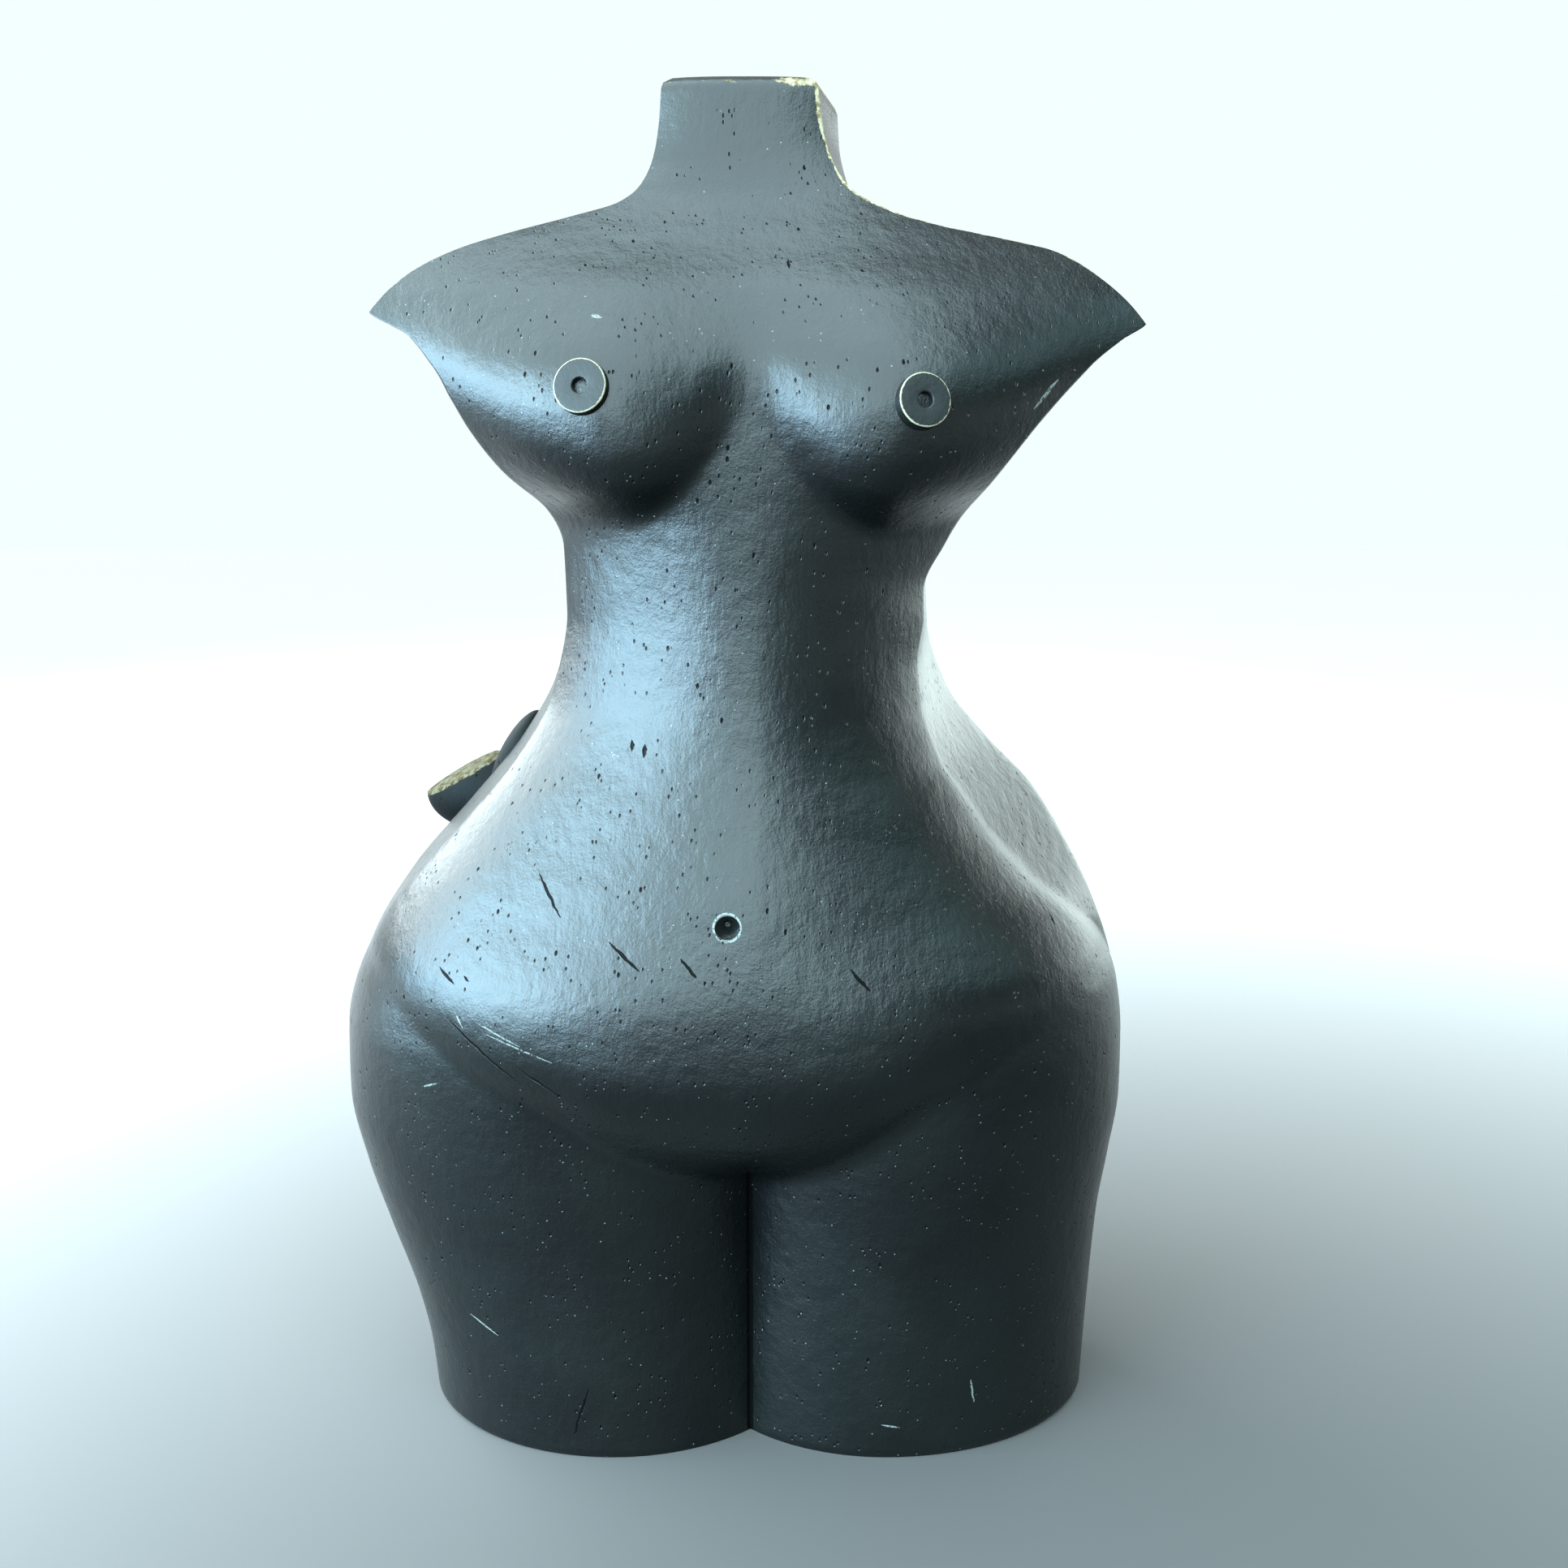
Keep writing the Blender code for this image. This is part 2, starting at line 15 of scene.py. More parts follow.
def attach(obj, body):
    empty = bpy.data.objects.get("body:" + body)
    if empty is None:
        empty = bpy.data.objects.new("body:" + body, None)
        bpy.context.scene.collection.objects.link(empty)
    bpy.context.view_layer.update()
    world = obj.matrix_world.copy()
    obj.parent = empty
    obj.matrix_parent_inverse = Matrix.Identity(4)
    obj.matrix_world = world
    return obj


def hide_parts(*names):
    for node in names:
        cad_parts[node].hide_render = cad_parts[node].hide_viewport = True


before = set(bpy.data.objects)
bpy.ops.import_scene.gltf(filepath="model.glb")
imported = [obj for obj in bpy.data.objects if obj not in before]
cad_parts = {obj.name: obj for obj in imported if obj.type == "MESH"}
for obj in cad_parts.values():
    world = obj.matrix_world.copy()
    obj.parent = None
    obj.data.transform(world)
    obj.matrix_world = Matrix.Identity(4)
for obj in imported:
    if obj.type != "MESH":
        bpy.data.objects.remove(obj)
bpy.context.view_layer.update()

# Driving sizes, in metres. Every other proportion of the figure is a share of its height.
HEIGHT = 0.360
NECK_RIM_ROUND = 0.0030
BASE_RIM_ROUND = 0.0012
DISC_RADIUS = 0.0063
DISC_STAND = 0.0018
DISC_ROOT = 0.0060
DISC_HOLE_RADIUS = 0.0018
DISC_HOLE_DEPTH = 0.0040
POLE_RADIUS = 0.00001
NAVEL_RADIUS = 0.0032
NAVEL_DEPTH = 0.0036
NAVEL_FACES = (0.0, -1.0, 0.06)
# The drill's cone: its tip as a share of its radius, and how far it stands out of the surface, in metres.
DRILL_TIP = 0.2
DRILL_OUT = 0.001

# Where the small carvings sit on the front, as (x, z) shares, and the way each nipple disc faces.
LEFT_DISC = (-0.1020, 0.7906)
RIGHT_DISC = (0.1147, 0.7820)
LEFT_DISC_FACES = (-0.20, -0.95, 0.22)
RIGHT_DISC_FACES = (0.30, -0.93, 0.20)
NAVEL = (-0.0122, 0.4345)

# Two stubs behind the left of the waist, as shares: middle, half sizes, and the way the long axis points.
# The larger one is cut flat on its upper side: the way that facet faces and how far it is from the middle.
STUB = (-0.221, 0.092, 0.4735)
STUB_HALF_SIZES = (0.056, 0.030, 0.034)
STUB_POINTS = (-0.93, 0.34, -0.10)
STUB_FACET = (-0.52, -0.08, 0.85)
STUB_FACET_OFF = 0.024
SMALL_STUB = (-0.190, 0.062, 0.509)
SMALL_STUB_HALF_SIZES = (0.042, 0.024, 0.014)
SMALL_STUB_POINTS = (-0.47, 0.05, -0.88)

# How finely the skin is worked out: points along the front, a flank and the back, sections up the figure, and
# rings that close the neck and the underside.
FRONT_STEPS = 144
FLANK_STEPS = 20
BACK_STEPS = 96
LEVEL_STEPS = 310
NECK_RINGS = 16
UNDERSIDE_RINGS = 8
# Sections stand closer together round the shoulders: by how much, round which height and how far from it.
CROWDING = 1.6
CROWDED_HEIGHT = 0.885
CROWDED_SPREAD = 0.055
COUNTING_STEPS = 4001
# Points round a disc or a stub, along a rounded corner of a profile, and round a drilled hole.
ROUND_STEPS = 96
CORNER_STEPS = 6
DRILL_STEPS = 48

# Edges sharper than these angles stay crisp, in degrees. Points nearer than the weld are one.
SKIN_SHARP = 38
DISC_SHARP = 35
STUB_SHARP = 30
WELD = 1e-7

# The camera, and the side of the square frame that it sees, in pixels.
CAMERA_PLACE = (0.0095, -0.428, 0.2704)
CAMERA_DOWN = math.radians(12)
LENS = 36.0
SENSOR = 36.0
FRAME_SIDE = 1932

# Outlines seen from the front, as (height, half width). The tips are the points of the cut shoulders.
LEFT_TIP = (0.8425, 0.2570)
RIGHT_TIP = (0.8345, 0.2755)
LEFT_BODY = (
    (0.000, 0.261), (0.045, 0.265), (0.090, 0.274), (0.153, 0.294), (0.204, 0.309), (0.260, 0.319),
    (0.317, 0.317), (0.376, 0.300), (0.430, 0.268), (0.480, 0.224), (0.530, 0.182), (0.580, 0.153),
    (0.640, 0.137), (0.685, 0.1365), (0.711, 0.146), (0.737, 0.170), (0.765, 0.190), (0.790, 0.206),
    (0.812, 0.231), (0.829, 0.250), LEFT_TIP,
)
RIGHT_BODY = (
    (0.000, 0.273), (0.075, 0.276), (0.160, 0.281), (0.210, 0.288), (0.260, 0.294), (0.310, 0.293),
    (0.360, 0.286), (0.410, 0.271), (0.450, 0.252), (0.490, 0.227), (0.530, 0.188), (0.570, 0.156),
    (0.620, 0.139), (0.655, 0.137), (0.685, 0.151), (0.720, 0.176), (0.755, 0.203), (0.785, 0.229),
    (0.812, 0.255), RIGHT_TIP,
)
LEFT_SHOULDER = (
    LEFT_TIP, (0.856, 0.2455), (0.870, 0.229), (0.884, 0.201), (0.8955, 0.165), (0.906, 0.126),
    (0.9155, 0.095), (0.927, 0.081), (0.946, 0.0725), (0.970, 0.0675), (1.000, 0.0640),
)
RIGHT_SHOULDER = (
    RIGHT_TIP, (0.855, 0.259), (0.872, 0.240), (0.883, 0.220), (0.8915, 0.183), (0.9005, 0.140),
    (0.9125, 0.106), (0.925, 0.086), (0.946, 0.0735), (0.970, 0.0675), (1.000, 0.0655),
)

# How far the front edge lies inside the outline on each side, as (height, inset).
LEFT_INSET = (
    (0.000, 0.000), (0.350, 0.000), (0.410, 0.006), (0.450, 0.010), (0.500, 0.011), (0.560, 0.012),
    (0.620, 0.008), (0.680, 0.006), (0.740, 0.005), (0.785, 0.007), (0.808, 0.018), (0.826, 0.024),
    (0.8425, 0.004), (0.866, 0.006), (0.915, 0.009), (0.940, 0.009), (1.000, 0.007),
)
RIGHT_INSET = (
    (0.000, 0.000), (0.350, 0.000), (0.380, 0.006), (0.410, 0.024), (0.440, 0.046), (0.483, 0.058),
    (0.519, 0.050), (0.556, 0.034), (0.600, 0.020), (0.640, 0.010), (0.680, 0.010), (0.720, 0.014),
    (0.780, 0.018), (0.806, 0.018), (0.824, 0.012), (0.8345, 0.004), (0.870, 0.010), (0.905, 0.013),
    (0.935, 0.014), (1.000, 0.0165),
)

# Depths in front of and behind the middle plane, as (height, depth): along the centre line and at the edges.
FRONT_DEPTH = (
    (0.000, 0.150), (0.260, 0.172), (0.330, 0.183), (0.370, 0.181), (0.430, 0.171), (0.500, 0.153),
    (0.550, 0.143), (0.600, 0.138), (0.650, 0.1365), (0.700, 0.138), (0.770, 0.1415), (0.800, 0.140),
    (0.850, 0.122), (0.890, 0.092), (0.925, 0.068), (0.950, 0.059), (1.000, 0.052),
)
FRONT_EDGE = (
    (0.000, 0.000), (0.240, 0.000), (0.310, 0.008), (0.370, 0.022),
    (0.420, 0.038), (0.470, 0.052), (0.520, 0.060),
    (0.600, 0.060), (0.700, 0.058), (0.780, 0.056), (0.8455, 0.048),
    (0.900, 0.043), (0.930, 0.038), (1.000, 0.036),
)
BACK_DEPTH = (
    (0.000, 0.096), (0.200, 0.098), (0.300, 0.104), (0.380, 0.102), (0.480, 0.088), (0.560, 0.080),
    (0.650, 0.084), (0.730, 0.094), (0.800, 0.095), (0.850, 0.083), (0.890, 0.067), (0.925, 0.057),
    (0.950, 0.053), (1.000, 0.050),
)
BACK_EDGE = (
    (0.000, 0.000), (0.300, 0.000), (0.370, 0.006), (0.440, 0.030),
    (0.510, 0.045), (0.600, 0.040), (0.700, 0.038),
    (0.780, 0.034), (0.8455, 0.014), (0.900, 0.030), (0.940, 0.034), (1.000, 0.034),
)
# Half width that the chest's curve across is drawn to, which the shoulders' slopes cut short.
CHEST_REACH = (
    (0.000, 0.000), (0.560, 0.090), (0.640, 0.100), (0.700, 0.122),
    (0.730, 0.205), (0.760, 0.275), (0.800, 0.340),
    (0.845, 0.370), (0.880, 0.335), (0.905, 0.240), (0.925, 0.150),
    (0.945, 0.097), (0.970, 0.080), (1.000, 0.074),
)
CHEST_BLEND = 0.04
# Section shape, depth share = (1 - |s| ** fullness) ** roundness, as (height, value).
FRONT_FULLNESS = (
    (0.000, 2.2), (0.400, 2.4), (0.500, 2.3), (0.600, 2.1),
    (0.780, 2.2), (0.900, 2.2), (0.950, 2.8), (1.000, 3.0),
)
FRONT_ROUNDNESS = ((0.000, 0.50), (0.380, 0.58), (0.500, 0.72), (0.600, 0.85), (0.800, 1.00), (1.000, 1.00))
BACK_FULLNESS = 2.2
BACK_ROUNDNESS = 0.6

# Groin: how its crease rises from the middle towards each hip, as (distance from the middle, height), and how
# high the belly's lip is above it.
GROIN_LEFT = (
    (0.000, 0.213), (0.050, 0.232), (0.107, 0.262), (0.136, 0.284),
    (0.191, 0.311), (0.228, 0.338), (0.330, 0.400),
)
GROIN_RIGHT = ((0.000, 0.213), (0.070, 0.247), (0.134, 0.298), (0.217, 0.354), (0.250, 0.374), (0.330, 0.410))
LIP_MIDDLE = 0.115
LIP_SIDE = 0.065
LIP_SPREAD = 0.150

# Thighs: the line of each thigh's front and back, its depth, and how far it reaches inwards past that line.
THIGH_CENTRE = ((0.000, 0.105), (0.250, 0.125), (0.400, 0.130))
THIGH_INNER = 0.150
THIGH_FRONT = ((0.000, 0.127), (0.150, 0.132), (0.250, 0.141), (0.330, 0.148), (0.420, 0.146))
THIGH_BACK = ((0.000, 0.122), (0.120, 0.120), (0.200, 0.122), (0.400, 0.120))

# Breasts: two low mounds, as far from their middle line on the left as on the right; how each fades inwards,
# outwards and upwards; how far it stands, and how the valley between the two is rounded.
BREAST_HEIGHT = 0.782
BREAST_MIDDLE = 0.0055
BREAST_SIDE = 0.102
BREAST_INNER = 0.070
BREAST_OUTER = 0.105
BREAST_FULL = -0.015
BREAST_TOP = 0.085
BREAST_STAND = 0.032
BREAST_VALLEY = 0.012
# The breasts' feet: each foot's lowest place, how steeply it curves up beside that, and over what height the
# breast turns under to it, softer further from the lowest place.
FOOT_SIDE = 0.0935
FOOT_DOWN = 0.080
FOOT_TILT = 0.040
FOOT_RISE_INNER = 11.0
FOOT_RISE_OUTER = 3.5
FOOT_TURN = 0.058
FOOT_SOFT_INNER = 0.075
FOOT_SOFT_OUTER = 0.105

# Buttocks: the same measures, behind.
BUTTOCK_HEIGHT = 0.325
BUTTOCK_SIDE = 0.128
BUTTOCK_REACH = (0.136, 0.210, 0.138, 0.250)
BUTTOCK_FALL = (0.70, 0.62, 1.30)
BUTTOCK_FILLET = 0.08
BUTTOCK_STAND = 0.098
SEAT_FOOT = 0.185
SEAT_HEIGHT = 0.090

# A low keel down the middle of the belly: how steeply the front falls away from it on each side, how its
# ridge is rounded, and the heights it comes in and goes out between.
KEEL_SIDE = 0.006
KEEL_SLOPE = 0.075
KEEL_ROUND = 0.008
KEEL_SPAN = ((0.36, 0.44), (0.62, 0.74))

# The groove of the spine, the same way.
SPINE_DEPTH = 0.012
SPINE_WIDTH = 0.022
SPINE_SPAN = ((0.42, 0.54), (0.78, 0.90))

# How the four long edges of the sections are rounded: below and above a height, over the points beside them.
EDGE_SOFT_BELOW = 0.50
EDGE_SOFT_ABOVE = 0.16
EDGE_SOFT_SPAN = (0.78, 0.83)
EDGE_PASSES = 8
EDGE_REACH = 7
EDGE_FADE = 3.0

# How much the paint is rubbed off along the front ridges, as (height, amount).
RIGHT_WEAR = (
    (0.000, 0.00), (0.840, 0.00), (0.860, 0.60), (0.880, 0.85), (0.900, 0.90), (0.915, 1.00), (0.930, 1.00),
    (0.950, 0.75), (0.970, 1.00), (1.000, 1.00),
)
LEFT_WEAR = (
    (0.000, 0.00), (0.740, 0.00), (0.775, 0.30), (0.800, 0.60), (0.830, 0.85), (0.846, 0.80), (0.860, 0.10),
    (0.900, 0.05), (1.000, 0.20),
)
# How far across the wear reaches from each ridge, in metres.
RIGHT_WEAR_REACH = 0.0016
LEFT_WEAR_REACH = 0.0011
# Wear round the neck's rim: how much, between which heights it comes in and goes out, and the share of it on
# the left, which grows to all of it between two places across, in metres.
RIM_WEAR = 0.75
RIM_COMES_IN = (0.9905, 0.9945)
RIM_GOES_OUT = (0.9995, 1.0005)
RIM_LEFT_SHARE = 0.55
RIM_GROWS = (0.004, 0.016)
# Wear on the discs, as a bell round the rim and a weaker one round the hole, and on the stub's facet.
DISC_RIM_SPREAD = 0.0005
DISC_HOLE_SPREAD = 0.0003
DISC_HOLE_WEAR = 0.4
FACET_WEAR = 0.64
FACET_FROM = 0.80
FACET_FADE = 0.15

# Cracks, pits and carved lines on the front: start and end as (column, row) pixels of the
# camera's frame, and width in metres.
CRACKS = (
    ((665, 1077), (690, 1130), 0.0006),
    ((751, 1161), (787, 1197), 0.0006),
    ((839, 1182), (858, 1205), 0.0006),
    ((1048, 1195), (1072, 1221), 0.0006),
    ((725, 1711), (708, 1768), 0.0006),
    ((778, 912), (778, 925), 0.0008),
    ((795, 918), (794, 933), 0.0008),
    ((551, 1254), (636, 1332), 0.0006),
    ((636, 1315), (691, 1352), 0.0005),
    ((542, 1192), (558, 1212), 0.0006),
    ((971, 320), (974, 330), 0.0005),
    ((572, 1203), (577, 1209), 0.0006),
    ((1292, 1125), (1300, 1140), 0.0005),
)
# Pale scratches, the same way.
SCRATCHES = (
    ((580, 1619), (613, 1645), 0.0005),
    ((1087, 1756), (1108, 1759), 0.0005),
    ((1196, 1700), (1200, 1727), 0.0005),
    ((1304, 467), (1274, 504), 0.0007),
    ((520, 1339), (538, 1335), 0.0005),
    ((560, 1245), (570, 1268), 0.0004),
    ((600, 1275), (680, 1310), 0.0004),
    ((590, 1262), (640, 1290), 0.0004),
    ((727, 388), (741, 391), 0.0008),
)
# Following a ray to the front surface: the upright plane it starts from, the steps, and the shares of the
# height it keeps between.
FIRST_PLANE = -0.05
RAY_STEPS = 12
RAY_HEIGHTS = (0.002, 0.998)


def through(points, heights):
    """Values at the heights of a smooth curve through (height, value) points.

    It is made of cubic pieces whose slopes are harmonic means of the neighbouring chords, so that it never
    overshoots."""
    h, v = np.array(points, float).T
    step = np.diff(h)
    chord = np.diff(v) / step
    slope = np.zeros_like(v)
    rising = chord[:-1] * chord[1:] > 0
    safe = np.where(rising, chord[:-1], 1.0), np.where(rising, chord[1:], 1.0)
    before, after = 2 * step[1:] + step[:-1], step[1:] + 2 * step[:-1]
    slope[1:-1] = np.where(rising, (before + after) / (before / safe[0] + after / safe[1]), 0.0)
    slope[0], slope[-1] = chord[0], chord[-1]
    i = np.clip(np.searchsorted(h, heights, side="right") - 1, 0, len(step) - 1)
    t = np.clip((heights - h[i]) / step[i], 0.0, 1.0)
    low, high = v[i], v[i + 1]
    return (
        low + t * t * (3 - 2 * t) * (high - low)
        + t * (1 - t) ** 2 * step[i] * slope[i]
        - t * t * (1 - t) * step[i] * slope[i + 1]
    )


def ease(t):
    """0 before 0, 1 after 1, smooth in between."""
    t = np.clip(t, 0.0, 1.0)
    return t * t * (3 - 2 * t)


def band(z, span):
    """1 between two pairs of heights: it rises through the first pair and falls through the second."""
    (low, full), (fade, gone) = span
    return ease((z - low) / (full - low)) * (1 - ease((z - fade) / (gone - fade)))


def bulge(t, power=3.2, fillet=0.10):
    """0 below 0, rising steeply past a small fillet, level at 1: 1 - (1 - t) ** power."""
    return 1 - (1 - np.minimum(smooth_max(t, 0.0, fillet), 1.0)) ** power


def smooth_max(a, b, width):
    """The larger of a and b, with the valley between them rounded over the width."""
    gap = np.clip(0.5 + 0.5 * (a - b) / width, 0.0, 1.0)
    return b + (a - b) * gap + width * gap * (1 - gap)


def half_width(z, body, shoulder, tip):
    """Outline on one side: the body below the shoulder's tip and the shoulder's slope above it."""
    return np.where(z <= tip[0], through(body, z), through(shoulder, z))


def thigh_pair(x, z, reach, depth):
    """Depth of two upright columns that meet on the centre line: depth * sqrt(1 - share ** 2).

    Reach is the outline's half width on x's side."""
    centre = through(THIGH_CENTRE, z)
    off = np.abs(x) - centre
    share = np.where(off > 0, off / (reach - centre), off / THIGH_INNER)
    return depth * np.sqrt(1 - np.minimum(np.abs(share), 1.0) ** 2)


def dome(across, up, reach, fall, fillet):
    """A dome 1 high in the middle and 0 past its reach: (1 - distance ** 2) ** power.

    The power turns with height, and the fillet rounds the valley along the dome's foot."""
    inner, outer, down, top = reach
    across = np.where(across > 0, across / outer, across / inner)
    rise = np.where(up > 0, up / top, up / down)
    turn = ease(np.abs(rise))
    power = fall[0] + (np.where(up > 0, fall[2], fall[1]) - fall[0]) * turn
    return smooth_max(1 - across ** 2 - rise ** 2, 0.0, fillet) ** power


def breasts(x, z):
    """How far the breasts stand off the chest: mounds that fade like a bell, and turn under to a curved foot.

    The foot's height is rise * off ** 2 above its lowest place, and it fades there as the turn grows with
    off ** 4."""
    up = z - BREAST_HEIGHT
    from_middle = np.sqrt((x - BREAST_MIDDLE) ** 2 + BREAST_VALLEY ** 2)
    across, off = from_middle - BREAST_SIDE, from_middle - FOOT_SIDE
    side = np.exp(-((across / np.where(across > 0, BREAST_OUTER, BREAST_INNER)) ** 2))
    top = np.exp(-((np.maximum(up - BREAST_FULL, 0) / BREAST_TOP) ** 2))
    foot = np.where(off > 0, FOOT_RISE_OUTER, FOOT_RISE_INNER) * off ** 2 - FOOT_DOWN - FOOT_TILT * x
    turn = FOOT_TURN * (1 + (off / np.where(off > 0, FOOT_SOFT_OUTER, FOOT_SOFT_INNER)) ** 4)
    return BREAST_STAND * side * top * bulge((up - foot) / turn)


def buttocks(x, z):
    """How far the buttocks stand off the lower back."""
    off, up = np.abs(x) - BUTTOCK_SIDE, z - BUTTOCK_HEIGHT
    return BUTTOCK_STAND * dome(off, up, BUTTOCK_REACH, BUTTOCK_FALL, BUTTOCK_FILLET)


def front_depth(x, z, edge):
    """Depth of the carved front before the middle plane; edge is the front edge's half width on x's side."""
    s = np.minimum(np.abs(x) / smooth_max(edge, through(CHEST_REACH, z), CHEST_BLEND), 1.0)
    rim = through(FRONT_EDGE, z)
    rise = (1 - s ** through(FRONT_FULLNESS, z)) ** through(FRONT_ROUNDNESS, z)
    trunk = rim + (through(FRONT_DEPTH, z) - rim) * rise
    from_keel = np.sqrt((x - KEEL_SIDE) ** 2 + KEEL_ROUND ** 2) - KEEL_ROUND
    trunk = trunk + breasts(x, z) - KEEL_SLOPE * band(z, KEEL_SPAN) * from_keel * (1 - s ** 2)
    thighs = thigh_pair(x, z, edge, through(THIGH_FRONT, z))
    groin = np.where(x < 0, through(GROIN_LEFT, -x), through(GROIN_RIGHT, x))
    lip_height = LIP_SIDE + (LIP_MIDDLE - LIP_SIDE) * np.exp(-((x / LIP_SPREAD) ** 2))
    lip = bulge((z - groin) / lip_height)
    return thighs + (trunk - thighs) * lip


def back_depth(x, z, edge):
    """Depth of the carved back behind the middle plane."""
    s = np.minimum(np.abs(x) / smooth_max(edge, through(CHEST_REACH, z), CHEST_BLEND), 1.0)
    rim = through(BACK_EDGE, z)
    trunk = rim + (through(BACK_DEPTH, z) - rim) * (1 - s ** BACK_FULLNESS) ** BACK_ROUNDNESS
    spine = np.exp(-((x / SPINE_WIDTH) ** 2)) * band(z, SPINE_SPAN)
    trunk = trunk - SPINE_DEPTH * spine + buttocks(x, z) * (1 - s ** 4)
    thighs = thigh_pair(x, z, edge, through(THIGH_BACK, z))
    return thighs + (trunk - thighs) * bulge((z - SEAT_FOOT) / SEAT_HEIGHT)


def level_heights():
    """Heights of the sections, as shares: closer together over the shoulders, one at each shoulder's tip."""
    even = np.linspace(0.0, 1.0, COUNTING_STEPS)
    density = 1.0 + CROWDING * np.exp(-(((even - CROWDED_HEIGHT) / CROWDED_SPREAD) ** 2))
    run = np.concatenate([[0.0], np.cumsum((density[1:] + density[:-1]) / 2)])
    levels = np.interp(np.linspace(0.0, run[-1], LEVEL_STEPS + 1), run, even)
    for tip in (LEFT_TIP[0], RIGHT_TIP[0]):
        levels[np.argmin(np.abs(levels - tip))] = tip
    return levels


def spaced(steps):
    """Shares from 0 at the centre line to 1 at the edge, closer together towards the edge."""
    u = np.linspace(0.0, 1.0, steps // 2 + 1)
    return np.sin((0.7 * u + 0.3 * u ** 2) * math.pi / 2)


def sections():
    """Points of every section as an array (level, place round the section, 3), in shares of the height."""
    z = level_heights()[:, None]
    left = half_width(z, LEFT_BODY, LEFT_SHOULDER, LEFT_TIP)
    right = half_width(z, RIGHT_BODY, RIGHT_SHOULDER, RIGHT_TIP)
    left_front = left - through(LEFT_INSET, z)
    right_front = right - through(RIGHT_INSET, z)

    out, home = spaced(FRONT_STEPS), spaced(FRONT_STEPS)[::-1]
    front_x = np.hstack([-home * left_front, (out * right_front)[:, 1:]])
    front_edge = np.where(front_x < 0, left_front, right_front)
    front_y = -front_depth(front_x, z, front_edge)

    out, home = spaced(BACK_STEPS), spaced(BACK_STEPS)[::-1]
    back_x = np.hstack([home * right, (-out * left)[:, 1:]])
    back_edge = np.where(back_x < 0, left, right)
    back_y = back_depth(back_x, z, back_edge)

    along = np.linspace(0.0, 1.0, FLANK_STEPS + 1)[1:-1]
    front = np.stack([front_x, front_y, np.broadcast_to(z, front_x.shape)], -1)
    back = np.stack([back_x, back_y, np.broadcast_to(z, back_x.shape)], -1)
    right_flank = front[:, -1:] + along[None, :, None] * (back[:, :1] - front[:, -1:])
    left_flank = back[:, -1:] + along[None, :, None] * (front[:, :1] - back[:, -1:])
    return soften(np.concatenate([front, right_flank, back, left_flank], axis=1))


def places_round():
    """Ring places of the four long edges: front left, front right, back right and back left."""
    right_back = FRONT_STEPS + FLANK_STEPS
    return 0, FRONT_STEPS, right_back, right_back + BACK_STEPS


def soften(ring):
    """Rounds the long edges of the sections by averaging neighbours near them, round each section."""
    count = ring.shape[1]
    place = np.arange(count)
    away = np.min([np.minimum((place - e) % count, (e - place) % count) for e in places_round()], axis=0)
    near = np.clip((EDGE_REACH - away) / EDGE_FADE, 0.0, 1.0)[None, :, None]
    above = ease((ring[:, :1, 2:] - EDGE_SOFT_SPAN[0]) / (EDGE_SOFT_SPAN[1] - EDGE_SOFT_SPAN[0]))
    softness = near * (EDGE_SOFT_BELOW + (EDGE_SOFT_ABOVE - EDGE_SOFT_BELOW) * above)
    for _ in range(EDGE_PASSES):
        ring = ring + softness * ((np.roll(ring, 1, axis=1) + np.roll(ring, -1, axis=1)) / 2 - ring)
    return ring


def rimmed(ring):
    """The sections in metres, with the rims at the neck and the base rounded."""
    points = ring * HEIGHT
    middle = points[:, :, :2].mean(axis=1, keepdims=True)
    z = points[:, :1, 2]
    reach = np.abs(points[:, :, 0]).max(axis=1)[:, None]
    neck = np.clip((z - (HEIGHT - NECK_RIM_ROUND)) / NECK_RIM_ROUND, 0.0, 1.0)
    base = np.clip((BASE_RIM_ROUND - z) / BASE_RIM_ROUND, 0.0, 1.0)
    inset = NECK_RIM_ROUND * (1 - np.sqrt(1 - neck ** 2)) + BASE_RIM_ROUND * (1 - np.sqrt(1 - base ** 2))
    points[:, :, :2] = middle + (points[:, :, :2] - middle) * (1 - inset / reach)[:, :, None]
    return points


def eased_over(value, span):
    """0 below the span's first value, 1 above its second, eased between them."""
    return ease((value - span[0]) / (span[1] - span[0]))


def ridge_wear(points):
    """How worn each point is, 0 to 1: along the rubbed ridges it fades across them like a bell."""
    z = points[:, :, 2] / HEIGHT
    left, right, _, _ = places_round()
    off_right = np.linalg.norm(points - points[:, right:right + 1], axis=2)
    off_left = np.linalg.norm(points - points[:, left:left + 1], axis=2)
    right_run = through(RIGHT_WEAR, z) * np.exp(-((off_right / RIGHT_WEAR_REACH) ** 2))
    left_run = through(LEFT_WEAR, z) * np.exp(-((off_left / LEFT_WEAR_REACH) ** 2))
    rim = RIM_WEAR * eased_over(z, RIM_COMES_IN) * (1 - eased_over(z, RIM_GOES_OUT))
    rim = rim * (RIM_LEFT_SHARE + (1 - RIM_LEFT_SHARE) * eased_over(points[:, :, 0], RIM_GROWS))
    return np.maximum(np.maximum(right_run, left_run), rim)


def mark_points(mesh, name, values):
    """Stores one number for each point of a mesh, under a name that its paint reads."""
    mesh.attributes.new(name, "FLOAT", "POINT").data.foreach_set("value", values)


def point_places(mesh):
    """The points of a mesh as an array of rows."""
    places = np.empty(len(mesh.vertices) * 3)
    mesh.vertices.foreach_get("co", places)
    return places.reshape(-1, 3)


